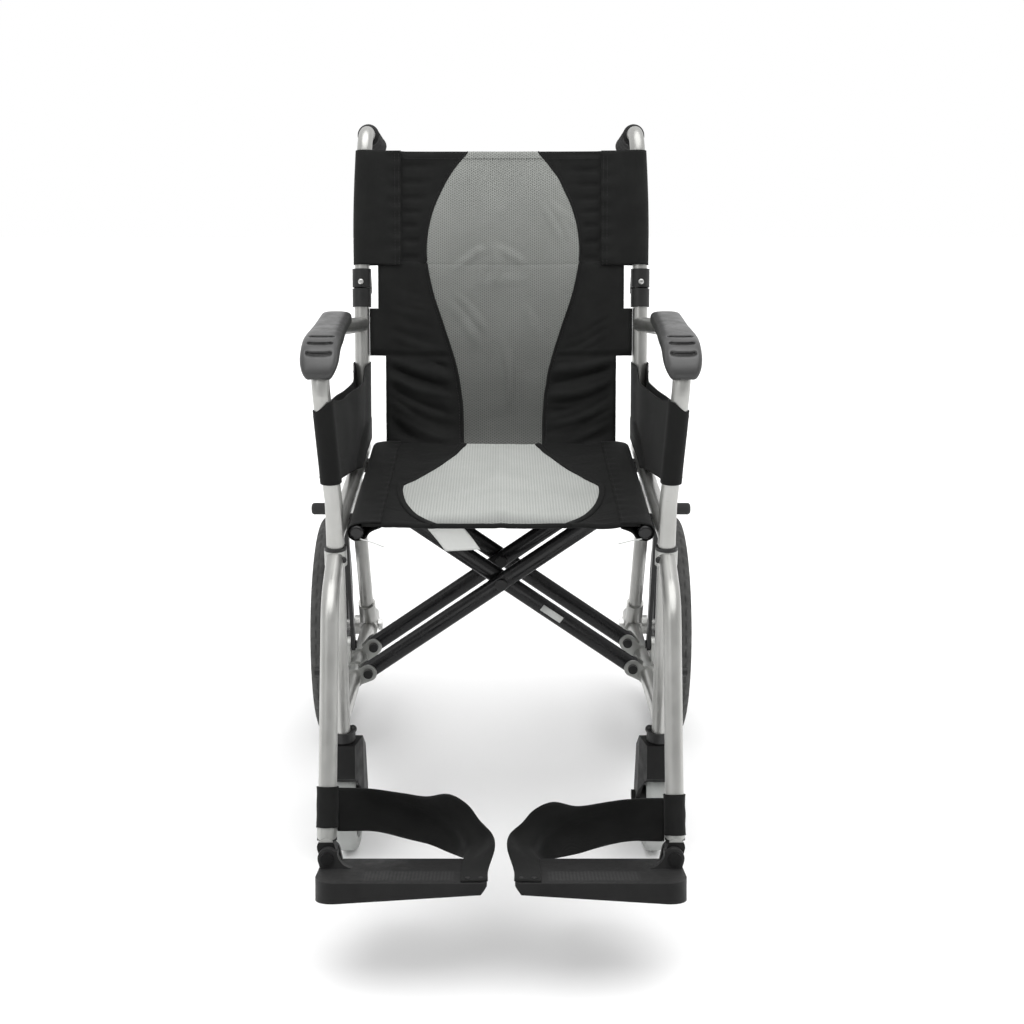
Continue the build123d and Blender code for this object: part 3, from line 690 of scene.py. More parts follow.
def settle(name, grid, pinned, slack, frames, cap, give):
    """Runs the cloth simulation on a grid of points and returns where the points come to rest."""
    rows, columns = len(grid), len(grid[0])
    points = [p for row in grid for p in row]
    obj = new_object(name, points, grid_faces(rows, columns), [BACK_CLOTH])
    pins = obj.vertex_groups.new(name="pins")
    loose = obj.vertex_groups.new(name="loose")
    for n in range(len(points)):
        pins.add([n], pinned(n // columns, n % columns), "REPLACE")
        loose.add([n], give(n // columns, n % columns), "REPLACE")
    cloth = obj.modifiers.new("cloth", "CLOTH")
    for key, value in dict(CLOTH, shrink_max=-slack).items():
        setattr(cloth.settings, key, value)
    cloth.collision_settings.use_self_collision = False
    cloth.collision_settings.use_collision = False
    scene = bpy.context.scene
    scene.gravity = (0, 0, -9.81)
    scene.frame_start, scene.frame_end = 1, frames
    cloth.point_cache.frame_start, cloth.point_cache.frame_end = 1, frames
    for step in range(1, frames + 1):
        scene.frame_set(step)
    apply_modifiers(obj)
    moved = [v.co.copy() for v in obj.data.vertices]
    mesh = obj.data
    bpy.data.objects.remove(obj)
    bpy.data.meshes.remove(mesh)
    scene.frame_set(1)
    result = []
    for i in range(rows):
        row = []
        for j in range(columns):
            shift = moved[i * columns + j] - grid[i][j]
            row.append(grid[i][j] + shift * min(1.0, cap / max(cap, shift.length)))
        result.append(row)
    return result


def back_grid():
    """Settled cloth of the whole back, as rows of points, with the height of each row."""
    heights = [BACK_FOOT + (BACK_TOP - BACK_FOOT) * i / BACK_ROWS for i in range(BACK_ROWS + 1)]
    across = [back_columns(up) for up in heights]
    grid = [[on_back(x, up, back_seed(x, up)) for x in row] for up, row in zip(heights, across)]
    columns = len(across[0])

    def pinned(i, j):
        x, up = abs(across[i][j]), heights[i]
        edge = x > (SEAM_X if up > SLEEVE_FOOT else LOWER_X if up < SHOULDER_FOOT else NOTCH_X) - 0.0005
        edge = edge or (x > LOWER_X - 0.0005 and NOTCH_FOOT < up <= SLEEVE_FOOT)
        return 1.0 if edge or i in (0, BACK_ROWS) or j in (0, columns - 1) else 0.0

    def loose(i, j):
        w = spline(BACK_PANEL, heights[i])
        return 0.25 + 0.75 * smooth(abs(across[i][j] - PANEL_SHIFT), w, w + 0.015)

    return settle("back_cloth", grid, pinned, 0.022, 16, 0.012, loose), across, heights


def grid_normals(grid):
    """Unit normal at each point of a grid."""
    rows, columns = len(grid), len(grid[0])
    result = []
    for i in range(rows):
        row = []
        for j in range(columns):
            along = grid[i][min(j + 1, columns - 1)] - grid[i][max(j - 1, 0)]
            up = grid[min(i + 1, rows - 1)][j] - grid[max(i - 1, 0)][j]
            row.append(along.cross(up).normalized())
        result.append(row)
    return result


def puckers(x, up):
    """Gathers that run in from the long seams of the upper back."""
    inward = SEAM_X - abs(x)
    if inward < 0 or up < SLEEVE_FOOT:
        return 0.0
    w = spline(BACK_PANEL, up)
    fade = smooth(inward, 0.0, 0.006) * (1 - smooth(inward, 0.02, max(0.03, SEAM_X - w - 0.006)))
    phase = noise.noise(Vector((up * 14, 1.0 if x > 0 else 5.0, 0.2))) * 2.2
    return -0.0030 * fade * max(0.0, math.sin(2 * math.pi * up / 0.0215 + phase)) ** 2


def add_back():
    """Upper and lower back panels, which overlap at the hinges, with their piping and stitches."""
    grid, across, heights = back_grid()
    for i, up in enumerate(heights):
        grid[i] = [p + CANE_OUT * creases(x, up) for x, p in zip(across[i], grid[i])]
    normals = grid_normals(grid)
    if normals[60][40].dot(CANE_OUT) < 0:
        normals = [[-n for n in row] for row in normals]
    inner_start = len(OUTER_X) + STRIP_COLUMNS
    inner_end = inner_start + MESH_COLUMNS
    lap_top = min(range(len(heights)), key=lambda i: abs(heights[i] - LAP))
    lap_foot = min(range(len(heights)), key=lambda i: abs(heights[i] + LAP))

    def is_mesh(j):
        return inner_start <= j < inner_end

    def layer(rows, out_of):
        return [[grid[i][j] + normals[i][j] * out_of(heights[i], across[i][j]) for j in range(len(grid[0]))]
                for i in rows]

    def plump(x, up):
        """Extra thickness of the padded grey panel."""
        w = spline(BACK_PANEL, up)
        t = min(1.0, abs(x - PANEL_SHIFT) / w)
        return 0.0022 * (1 - t**6) ** 0.5

    def hem(x, edge):
        """Extra thickness of the folded hem along a side edge."""
        return 0.0005 * smooth(abs(x), edge - 0.011, edge - 0.009)

    def upper_front(up, x):
        top_hem = 0.0006 * smooth(up, BACK_TOP - 0.013, BACK_TOP - 0.011)
        return 0.0011 + plump(x, up) + top_hem + puckers(x, up) - 0.0042 * (1 - smooth(up, 0.024, 0.040))

    def upper_back(up, x):
        return -0.0011 - 0.0042 * (1 - smooth(up, 0.024, 0.040))

    def lower_front(up, x):
        proud = 0.0003 + 0.0005 * (1 - smooth(up, 0.015, LAP)) - 0.0016 * smooth(up, LAP - 0.009, LAP)
        edge = SHOULDER_X if up > SHOULDER_FOOT else LOWER_X
        w = spline(BACK_PANEL, up)
        strip = smooth(abs(x - PANEL_SHIFT), w + 0.003, w + 0.012)
        tuck = -0.0022 * strip * math.exp(-((up - SHOULDER_FOOT) / 0.0035) ** 2)
        above = 0.0012 * strip * smooth(up, SHOULDER_FOOT + 0.001, SHOULDER_FOOT + 0.006)
        return 0.0011 + proud + plump(x, up) + hem(x, edge) + tuck + above

    def lower_back(up, x):
        return -0.0011 + 0.0018 * smooth(up, 0.026, LAP) - hem(x, LOWER_X) * (up < SHOULDER_FOOT)

    rows = range(lap_foot, len(heights))

    def keep_upper(i, j):
        up, x = heights[rows[i]], max(abs(across[rows[i]][j]), abs(across[rows[i]][j + 1]))
        return x <= (UPPER_X if up > SLEEVE_FOOT else LOWER_X) + 1e-6

    kind = lambda i, j, side: 1 if is_mesh(j) and side == 0 else 0
    cloths = [BACK_CLOTH, BACK_MESH]
    upper = sheet_between("back_panel_upper", layer(rows, upper_front), layer(rows, upper_back), cloths,
                          keep_upper, kind)
    carry(upper, "right_upper_back")
    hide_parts("back_sling_upper")
    low_rows = range(0, lap_top + 1)

    def keep_lower(i, j):
        up = (heights[i] + heights[i + 1]) / 2
        x = max(abs(across[i][j]), abs(across[i][j + 1]))
        edge = LOWER_X if up < SHOULDER_FOOT else SHOULDER_X if up < NOTCH_FOOT else NOTCH_X
        return x <= edge + 1e-6

    lower = sheet_between("back_panel_lower", layer(low_rows, lower_front), layer(low_rows, lower_back),
                          cloths, keep_lower, kind)
    carry(lower, "right_frame")
    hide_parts("back_sling_lower")
    whole = range(len(heights))
    fronts = {"upper": (layer(whole, upper_front), range(lap_top, len(heights)), "right_upper_back"),
              "lower": (layer(whole, lower_front), low_rows, "right_frame")}
    soft = {"upper": [upper], "lower": [lower]}
    for part, (front, span, body) in fronts.items():
        for side, column in (("right", inner_start), ("left", inner_end)):
            path = [front[i][column] + normals[i][column] * 0.0002 for i in span]
            cord = tube(f"back_piping_{part}_{side}", path, 0.0019, BACK_CLOTH, 8)
            sign = -1 if side == "right" else 1
            outer = column + sign
            seam = [front[i][outer].lerp(front[i][column], 0.2) + normals[i][outer] * 0.0004 for i in span]
            row = stitches(f"back_piping_stitches_{part}_{side}", seam, THREAD)
            for piece in (cord, row):
                soft[part].append(carry(piece, body))
    top = [p + normals[-4][j] * 0.0004 for j, p in enumerate(fronts["upper"][0][-4])]
    hem_row = stitches("back_top_stitches", top[len(OUTER_X):-len(OUTER_X)], THREAD)
    soft["upper"].append(carry(hem_row, "right_upper_back"))
    return soft


def sleeve_section(bulge, up):
    """Half section of the sleeve round an upper cane, as (across, out) points from its front flap."""
    r = TUBE_R + 0.0016 + bulge
    cane = CANE_X - HANDLE_LEAN * up
    line = [(SEAM_X, 0.0030), (SEAM_X + 0.012, 0.0034), (SEAM_X + 0.03, 0.0056), (cane - 0.014, 0.0094)]
    for degrees in range(112, -113, -14):
        turn = math.radians(degrees)
        line.append((cane + r * math.cos(turn), r * math.sin(turn)))
    line += [(cane - 0.014, -0.0094), (SEAM_X + 0.03, -0.0050), (SEAM_X + 0.012, -0.0034), (SEAM_X, -0.0030)]
    return through(line, 64)


def add_sleeve(side):
    """Cloth sleeve of the upper back round one cane."""
    sign = SIDES[side]
    rows = 48
    grid = []
    for i in range(rows + 1):
        t = i / rows
        up = SLEEVE_FOOT + (BACK_TOP - SLEEVE_FOOT) * t
        section = sleeve_section(0.0016 * math.sin(math.pi * t), up)
        ring = []
        for k, (x, out) in enumerate(section):
            near = 1 - smooth(x, SEAM_X + 0.004, SEAM_X + 0.03)
            pucker = near * 0.0011 * math.sin(2 * math.pi * up / 0.0215 + sign)
            ripple = 0.0009 * noise.noise(Vector((x * 40 * sign, up * 26, out * 60 + sign * 4)))
            ripple *= 1 - smooth(x, CANE_X - 0.006, CANE_X)
            ripple += 0.0005 * noise.noise(Vector((x * 15, up * 60, sign * 9)))
            ring.append(on_back(sign * x, up, out + (pucker + ripple) * (1 if k < 32 else -1)))
        grid.append(ring)
    points = [p for row in grid for p in row]
    obj = new_object(f"back_sleeve_{side}", points, grid_faces(rows + 1, len(grid[0])), [BACK_CLOTH])
    thicken(obj, 0.0010, 0)
    carry(obj, f"{side}_upper_back")
    seam = [on_back(sign * (SEAM_X + 0.003), SLEEVE_FOOT + (BACK_TOP - SLEEVE_FOOT) * i / 60, 0.0042)
            for i in range(61)]
    rows = [stitches(f"back_sleeve_stitches_{side}", seam, THREAD)]
    second = [p + Vector((sign * 0.006, 0, 0)) for p in seam]
    rows.append(stitches(f"back_sleeve_stitches_inner_{side}", second, THREAD))
    for row in rows:
        carry(row, f"{side}_upper_back")
    return obj


# Seat

SEAT_FRONT = SEAT_LOW.y
SEAT_REAR = SEAT_HIGH.y
SEAT_ROWS = 96
SEAT_PAD = [(-412, 0.084), (-395, 0.090), (-380, 0.099), (-360, 0.111), (-339, 0.120), (-318, 0.127),
            (-296, 0.132), (-273, 0.1355), (-250, 0.137), (-236, 0.136), (-204, 0.122), (-154, 0.0995),
            (-103, 0.081), (-76, 0.071), (-30, 0.055)]
SEAT_PAD_COLUMNS = 22
SEAT_STRIP_COLUMNS = 12
SEAT_SEAM_X = 0.150
SEAT_EDGE_X = 0.1745
SEAT_LEVEL = RAIL.z + RAIL_R + 0.0008


def pad_width(y):
    return spline(SEAT_PAD, (y - AXLE.y) * 1000)


def seat_columns(y):
    """Places across one half of the seat, from the middle out."""
    w = pad_width(y)
    pad = [w * k / SEAT_PAD_COLUMNS for k in range(SEAT_PAD_COLUMNS + 1)]
    strip = [w + (SEAT_SEAM_X - w) * k / SEAT_STRIP_COLUMNS for k in range(1, SEAT_STRIP_COLUMNS + 1)]
    return pad + strip + [0.156, 0.162, 0.168, SEAT_EDGE_X]


SEAT_SAG = 0.003

# Which arm of the cross brace each half of the seat moves with
RAIL_BODY = {"left": "right_brace", "right": "left_brace"}


def seat_height(x, y):
    """Height of the seat before the cloth settles, with ripples between the pad and the rails."""
    a = abs(x)
    w = pad_width(y)
    level = SEAT_LEVEL - SEAT_SAG * (1 - min(1, a / SEAT_EDGE_X) ** 2)
    still = smooth(a, 0.006, 0.03)
    ripple = smooth(a, w + 0.004, w + 0.015) * (1 - smooth(a, SEAT_SEAM_X - 0.01, SEAT_SEAM_X + 0.004))
    level += 0.0016 * ripple * math.sin(2 * math.pi * (y * 21 + a * 9 + (0.3 if x > 0 else 0)))
    return level + 0.0009 * still * noise.noise(Vector((x * 24, y * 24, 7.7)))


def seat_grid():
    """Settled cloth of the whole seat, as rows of points, with the depth of each row."""
    depths = [SEAT_FRONT + (SEAT_REAR - SEAT_FRONT) * i / SEAT_ROWS for i in range(SEAT_ROWS + 1)]
    across = []
    for y in depths:
        half = seat_columns(y)
        across.append([-x for x in reversed(half)] + half[1:])
    grid = [[Vector((x, y, seat_height(x, y))) for x in row] for y, row in zip(depths, across)]

    def pinned(i, j):
        x = abs(across[i][j])
        return 1.0 if x > SEAT_SEAM_X - 0.0005 or x < 0.001 or i in (0, SEAT_ROWS) else 0.0

    def loose(i, j):
        w = pad_width(depths[i])
        return 0.2 + 0.8 * smooth(abs(across[i][j]), w, w + 0.015)

    return settle("seat_cloth", grid, pinned, 0.015, 14, 0.006, loose), across, depths


def add_seat():
    """Seat panel in two halves that meet along the middle, with a padded mesh face."""
    grid, across, depths = seat_grid()
    normals = [[n if n.z > 0 else -n for n in row] for row in grid_normals(grid)]
    centre = len(across[0]) // 2
    for i in range(len(grid)):
        for step in (-1, 1):
            grid[i][centre + step].z = grid[i][centre].z
            normals[i][centre + step].x = 0
        normals[i][centre] = Vector((0, normals[i][centre].y, normals[i][centre].z)).normalized()

    def plump(x, y):
        t = min(1.0, abs(x) / pad_width(y))
        ends = (1 - smooth(abs(y - SEAT_REAR), 0.02, 0.0)) * smooth(y, SEAT_FRONT - 0.002, SEAT_FRONT + 0.012)
        return 0.0035 * math.sqrt(max(0, 1 - t**5)) * max(0.25, ends)

    top = [[p + n * (0.0012 + plump(x, y)) for p, n, x in zip(*row)]
           for y, row in zip(depths, zip(grid, normals, across))]
    under = [[p - n * 0.0012 for p, n in zip(*row)] for row in zip(grid, normals)]
    kind = lambda i, j, side: 1 if side == 0 and abs(j + 0.5 - centre) < SEAT_PAD_COLUMNS else 0
    made = {}
    for side, sign in SIDES.items():
        body = RAIL_BODY[side]
        keep = (lambda i, j: j >= centre) if side == "left" else (lambda i, j: j < centre)
        panel = sheet_between(f"seat_panel_{side}", top, under, [SEAT_CLOTH, SEAT_MESH], keep, kind)
        made[side] = [carry(panel, body)]
        column = centre + sign * SEAT_PAD_COLUMNS
        path = [top[i][column] + Vector((0, 0, 0.0004)) for i in range(len(grid))]
        cord = ribbon(f"seat_piping_{side}", path, 0.0046, 0.0017, SEAT_CLOTH)
        made[side].append(carry(cord, body))
        edge = [top[1][j].lerp(under[1][j], 0.5) - Vector((0, 0.0015, 0)) for j in range(len(grid[0]))
                if (j >= centre if side == "left" else j <= centre)]
        binding = tube(f"seat_front_binding_{side}", edge, 0.0034, SEAT_CLOTH, 8, 1.0)
        made[side].append(carry(binding, body))
        outer = column + sign
        seam = [top[i][outer] + normals[i][outer] * 0.0005 for i in range(len(grid))]
        made[side].append(carry(stitches(f"seat_piping_stitches_{side}", seam, THREAD), body))
        crisp(panel, 60)
    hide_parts("seat_sling")
    return made


def add_seat_sleeve(side):
    """Cloth sleeve of the seat round one rail."""
    sign = SIDES[side]
    body = RAIL_BODY[side]
    r = RAIL_R + 0.0014
    line = [(SEAT_SEAM_X, 0.0124), (SEAT_SEAM_X + 0.012, 0.0128), (RAIL.x - 0.008, 0.0124)]
    for degrees in range(75, -91, -15):
        turn = math.radians(degrees)
        line.append((RAIL.x + r * math.cos(turn), r * math.sin(turn)))
    line += [(RAIL.x - 0.010, -0.0085), (SEAT_SEAM_X + 0.014, 0.000), (SEAT_SEAM_X, 0.0060)]
    section = through(line, 46)
    rows = 72
    points = []
    for i in range(rows + 1):
        y = SEAT_FRONT - 0.001 + (SEAT_REAR - SEAT_FRONT + 0.004) * i / rows
        for x, up in section:
            ripple = 0.0007 * noise.noise(Vector((x * 30 * sign, y * 34, up * 30)))
            near = 1 - smooth(x, SEAT_SEAM_X + 0.002, SEAT_SEAM_X + 0.02)
            pucker = 0.0006 * math.sin(y * 260 + sign) * near
            points.append(Vector((sign * x, y, RAIL.z + up + ripple + pucker)))
    obj = new_object(f"seat_sleeve_{side}", points, grid_faces(rows + 1, len(section)), [SEAT_CLOTH])
    thicken(obj, 0.0010, 0)
    carry(obj, body)
    seam_x = sign * (SEAT_SEAM_X + 0.003)
    seam = [Vector((seam_x, SEAT_FRONT + (SEAT_REAR - SEAT_FRONT) * i / 90, RAIL.z + 0.0134))
            for i in range(91)]
    row = carry(stitches(f"seat_sleeve_stitches_{side}", seam, THREAD), body)
    return obj


# Side guards. Shares run from the front post, 0, to the back cane, 1.

GUARD_LENGTH = 0.426
GUARD_WALL = 0.0124
GUARD_GAP = 0.0068
GUARD_POST = Vector((0.209, -0.421, 0))
GUARD_CANE = Vector((0.207, -0.020, 0.462))
GUARD_TOP = {"post": 0.625, "low": 0.577, "cane": 0.590}
GUARD_LOW_SHARE = 0.83
GUARD_BOTTOM = {"post": 0.533, "cane": 0.446}
ABOVE_SIDE_TUBE = 0.478


def guard_height(share, v, floor):
    """Height of the cloth, from its bottom edge at v = 0 to its dipping top edge at v = 1."""
    post, lowest, cane = GUARD_TOP["post"], GUARD_TOP["low"], GUARD_TOP["cane"]
    dip = (cane + (post - cane) * (1 - share)) - (post + (lowest - post) * min(1, share / GUARD_LOW_SHARE))
    low = GUARD_BOTTOM["post"] + (GUARD_BOTTOM["cane"] - GUARD_BOTTOM["post"]) * share
    high = post + (cane - post) * share - max(0, dip) * (1 - smooth(share, 0.845, 0.93))
    low = max(low, floor)
    return low + (high - low) * v


def guard_half(d, share, v):
    """Half the distance between the outer and inner cloth, d metres back from the front post.

    Low down near the cane the layers stay apart: the outer one passes outside the seat side tube.
    """
    if d < 0 or d > GUARD_LENGTH:
        over = -d if d < 0 else d - GUARD_LENGTH
        half = math.sqrt(max(0, GUARD_WALL**2 - over**2))
    else:
        half = GUARD_GAP + (GUARD_WALL - GUARD_GAP) * (1 - smooth(min(d, GUARD_LENGTH - d), 0.004, 0.045))
    straddle = (1 - smooth(guard_height(share, v, 0), 0.482, 0.510)) * smooth(share, 0.5, 0.62)
    return max(half, GUARD_WALL * straddle * min(1, half / GUARD_GAP))


def add_guard(side):
    """Cloth guard: a flat loop round the front post and the back cane, open above and below."""
    sign = SIDES[side]
    rows, columns = 48, 72
    points = []
    for i in range(rows + 1):
        v = i / rows
        ring = []
        for k in range(2 * columns):
            face = 1 if k < columns else -1
            t = k / (columns - 1) if face > 0 else 1 - (k - columns + 0.5) / columns
            t = 0.5 - 0.5 * math.cos(math.pi * t)
            d = -GUARD_WALL + (GUARD_LENGTH + 2 * GUARD_WALL) * t
            share = min(1, max(0, d / GUARD_LENGTH))
            half = guard_half(d, share, v)
            inward = 0.5 - 0.5 * face * min(1, half / GUARD_WALL * 1.6)
            floor = ABOVE_SIDE_TUBE * smooth(inward, 0.2, 0.8) * smooth(share, 0.5, 0.6)
            z = guard_height(share, v, floor)
            z += 0.012 * inward * (1 - smooth(share, 0.0, 0.3)) * v
            mid = math.sin(math.pi * share)
            wave = 0.0022 * mid * noise.noise(Vector((d * 11, v * 2.4, sign * 3 + max(0, face))))
            wave += 0.0010 * mid * math.sin(9 * share + 5 * v)
            lean = math.tan(RECLINE) * (z - GUARD_CANE.z)
            to_cane = smooth(share, 0.0, 1.0)
            y = (GUARD_POST.y + d) * (1 - to_cane) + (GUARD_CANE.y + lean - GUARD_LENGTH + d) * to_cane
            x = GUARD_POST.x + 0.0075 * smooth(z, 0.50, 0.66) * (1 - share)
            x = x * (1 - share) + GUARD_CANE.x * share
            ring.append(Vector((sign * (x + wave + face * half), AXLE.y + y, z)))
        points.append(ring)
    obj = skin(f"side_guard_cloth_{side}", points, GUARD_CLOTH, capped=False)
    thicken(obj, 0.0012, 0)
    carry(obj, f"{side}_frame")
    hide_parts(f"{side}_side_guard")
    for name, row in (("top", rows - 4), ("bottom", 4)):
        line = [points[row][k] + Vector((sign * 0.0009, 0, 0)) for k in range(4, columns - 4)]
        carry(stitches(f"guard_{name}_stitches_{side}", line, THREAD), f"{side}_frame")
    return obj


# Heel straps. Their upper and lower edges, from the leg tube to the rivets.

STRAP_TOP = [(196, -592, 205), (150, -556, 183), (120, -549, 175), (92, -545, 168), (66, -551, 173),
             (44, -562, 165), (28, -577, 153), (12, -595, 146), (8, -630, 148.5), (15, -668, 141.5),
             (15, -698, 146)]
STRAP_FOOT = [(196, -592, 147), (150, -556, 124), (92, -545, 103), (62, -560, 98), (50, -585, 108),
              (46, -603, 119), (46, -630, 125.5), (46, -655, 132.2), (46, -698, 144.2)]
STRAP_DROP = {"left": 0.014, "right": 0.0}
STRAP_WALL = 0.0020
LEG_FOOT, LEG_KNEE = (207, -612, 149), (207, -497, 408)
STRAP_SLEEVE_FOOT = {"left": 0.004, "right": 0.013}
STRAP_SLEEVE = 0.048


def add_strap(side):
    """Heel strap: a band from the leg tube, behind the heel, to the foot plate, where it is riveted."""
    sign = SIDES[side]
    steps, rows = 84, 16
    top, foot = through(STRAP_TOP, steps), through(STRAP_FOOT, steps)
    drop = STRAP_DROP[side]

    def sunk(p, t):
        return at(p[0], p[1], p[2]) - Vector((0, 0, drop * (1 - smooth(t, 0.35, 0.72))))

    high = [sunk(p, i / (steps - 1)) for i, p in enumerate(top)]
    low = [sunk(p, i / (steps - 1)) for i, p in enumerate(foot)]
    front = []
    for r in range(rows + 1):
        v = r / rows
        row = []
        for i in range(steps):
            t = i / (steps - 1)
            span = high[i] - low[i]
            a, b = max(0, i - 1), min(steps - 1, i + 1)
            along = (high[b] - high[a] + low[b] - low[a]).normalized()
            across = along.cross(span).normalized()
            loose = math.sin(math.pi * min(1, t * 1.25)) if t < 0.8 else 0.0
            fold = 0.0035 * math.sin(2 * math.pi * (1.3 * v + 1.9 * t)) + 0.003 * noise.noise(
                Vector((t * 6, v * 2.2, sign * 2.0)))
            cup = 0.004 * math.sin(math.pi * v)
            row.append(low[i] + span * v + across * (fold + cup) * loose)
        front.append(row)
    back = []
    for r in range(rows + 1):
        row = []
        for i in range(steps):
            a, b = front[r][max(0, i - 1)], front[r][min(steps - 1, i + 1)]
            c, d = front[max(0, r - 1)][i], front[min(rows, r + 1)][i]
            row.append(front[r][i] + (b - a).cross(d - c).normalized() * STRAP_WALL)
        back.append(row)
    front, back = ([mirrored(row, sign) for row in layer] for layer in (front, back))
    band = sheet_between(f"heel_strap_band_{side}", front, back, [GUARD_CLOTH])
    return band


def add_strap_sleeve(side):
    """Part of the heel strap that is wrapped round the leg tube."""
    sign = SIDES[side]
    foot, knee = at(*LEG_FOOT), at(*LEG_KNEE)
    up = (knee - foot).normalized()
    forward = Vector((0, -up.z, up.y))
    rings = []
    rows, count = 26, 40
    for i in range(rows + 1):
        t = i / rows
        centre = foot + up * (STRAP_SLEEVE_FOOT[side] + STRAP_SLEEVE * t)
        flare = 0.0002 * math.cos(2 * math.pi * t * 2) + (0.0003 if i in (0, rows) else 0)
        ring = []
        for k in range(count):
            turn = 2 * math.pi * k / count
            r = TUBE_R + 0.0009 + flare + 0.0003 * noise.noise(Vector((turn * 2, t * 5, sign)))
            place = centre + Vector((math.cos(turn) * r, 0, 0)) + forward * math.sin(turn) * r
            ring.append(place)
        rings.append(mirrored(ring, sign))
    obj = skin(f"heel_strap_sleeve_{side}", rings, GUARD_CLOTH, capped=False)
    thicken(obj, 0.0010, 1)
    return carry(obj, f"{side}_frame")


# Moulded parts

# Profiles of the arm pad from its rear end to its drooping front, as (y, z) in millimetres
PAD_TOP = [(-200, 706), (-290, 707.5), (-372, 707.5), (-400, 703.5), (-420, 693), (-432, 679), (-437.5, 663)]
PAD_UNDER = [(-200, 688), (-290, 688.5), (-362, 688.5), (-383, 685), (-396, 678), (-403, 671), (-406, 665)]
PAD_GROOVES = (0.705, 0.79, 0.868)


def pad_groove(t, x):
    """Depth of the finger grooves at a share of the pad's length and of its half width."""
    depth = sum(math.exp(-((t - spot + 0.030 * x**2) / 0.010) ** 2) for spot in PAD_GROOVES)
    return depth * (1 - smooth(abs(x), 0.58, 0.74))


def rounded(t, length):
    """Rises from 0 to 1 over a length, as a quarter circle does."""
    return math.sqrt(max(0.0, 1 - (1 - min(1, t / length)) ** 2))


def add_arm_pad(side):
    """Moulded armrest pad that droops over the front, with three finger grooves."""
    sign = SIDES[side]
    low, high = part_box(f"{side}_arm_pad")
    half_width = (high.x - low.x) / 2
    centre_x = (high.x + low.x) / 2
    top, under = through(PAD_TOP, 120), through(PAD_UNDER, 120)
    count = 80
    rings = []
    for i, (a, b) in enumerate(zip(top, under)):
        t = i / (len(top) - 1)
        ends = rounded(t, 0.035) * rounded(1 - t, 0.045)
        width = half_width * (0.86 + 0.14 * smooth(t, 0.30, 0.72)) * (0.93 + 0.07 * ends)
        width *= math.sqrt(1 - 0.62 * max(0.0, (t - 0.86) / 0.14) ** 2.4)
        ring = []
        for k in range(count):
            turn = 2 * math.pi * (k + 0.5) / count
            cx, cz = math.cos(turn), math.sin(turn)
            x = math.copysign(abs(cx) ** 0.42, cx)
            z = math.copysign(abs(cz) ** 0.55, cz)
            share = 0.5 + 0.5 * z * (0.35 + 0.65 * ends)
            if cz > 0.1:
                share -= 0.19 * pad_groove(t, x)
            place = at(0, b[0] + (a[0] - b[0]) * share, b[1] + (a[1] - b[1]) * share)
            crown = 0.0012 * (1 - x * x) * max(0, cz)
            ring.append(Vector((centre_x + width * x * sign, place.y, place.z + crown)))
        rings.append(ring)
    obj = skin(f"arm_pad_skin_{side}", rings, PAD_PLASTIC)
    carry(obj, f"{side}_frame")
    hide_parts(f"{side}_arm_pad")
    return obj


GRIP_END = (197, 241, 887)
GRIP_BEND = (201, -20 + (922 - 462) * math.tan(RECLINE), 922)
GRIP_REACH = 0.112
GRIP_LENGTH = 0.118
GRIP_BORE = 0.0122
GRIP_WALL = 0.0028
RIB_PITCH = 0.0056
FINGER_PITCH = 0.024


def add_grip(side):
    """Ribbed rubber push grip."""
    sign = SIDES[side]
    end, start = at(*GRIP_END), at(*GRIP_BEND)
    along = (end - start).normalized()
    across = along.cross(Vector((1, 0, 0))).normalized()
    aside = along.cross(across)
    first = end - along * GRIP_REACH
    length = GRIP_LENGTH
    rings = []
    steps, count = 150, 40
    for i in range(steps + 1):
        d = length * i / steps
        lip = smooth(d, 0.001, 0.003) * (1 - smooth(d, length - 0.003, length))
        collar = 0.0012 * (1 - smooth(d, 0.006, 0.009)) + 0.0012 * smooth(d, length - 0.010, length - 0.007)
        in_ribs = smooth(d, 0.012, 0.016) * (1 - smooth(d, length - 0.018, length - 0.014))
        rib = 0.0009 * in_ribs * (1 if math.sin(2 * math.pi * d / RIB_PITCH) > -0.25 else -0.6)
        ring = []
        for k in range(count):
            turn = 2 * math.pi * k / count
            finger = 0.0011 * max(0, math.sin(turn)) * math.sin(2 * math.pi * d / FINGER_PITCH)
            r = GRIP_BORE + (GRIP_WALL + collar + rib + finger) * lip
            ring.append(first + along * d + (across * math.sin(turn) + aside * math.cos(turn)) * r)
        rings.append(mirrored(ring, sign))
    obj = crisp(skin(f"push_grip_rubber_{side}", rings, RUBBER), 50)
    carry(obj, f"{side}_upper_back")
    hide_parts(f"{side}_push_grip")
    return obj


TREAD_BLOCKS = 52
BLOCK_STEPS = 6
TYRE_SECTION = 0.026


def tread_cut(wide, phase):
    """Depth of the tread's grooves: across its middle rib, beside it, and between the shoulder blocks."""
    if abs(wide) < 0.2:
        return 0.0017 if phase == 0 else 0.0
    if abs(wide) < 0.42:
        return 0.0018
    if abs(wide) < 0.86 and (phase + (3 if wide > 0 else 0)) % BLOCK_STEPS in (0, 1):
        return 0.0020
    return 0.0


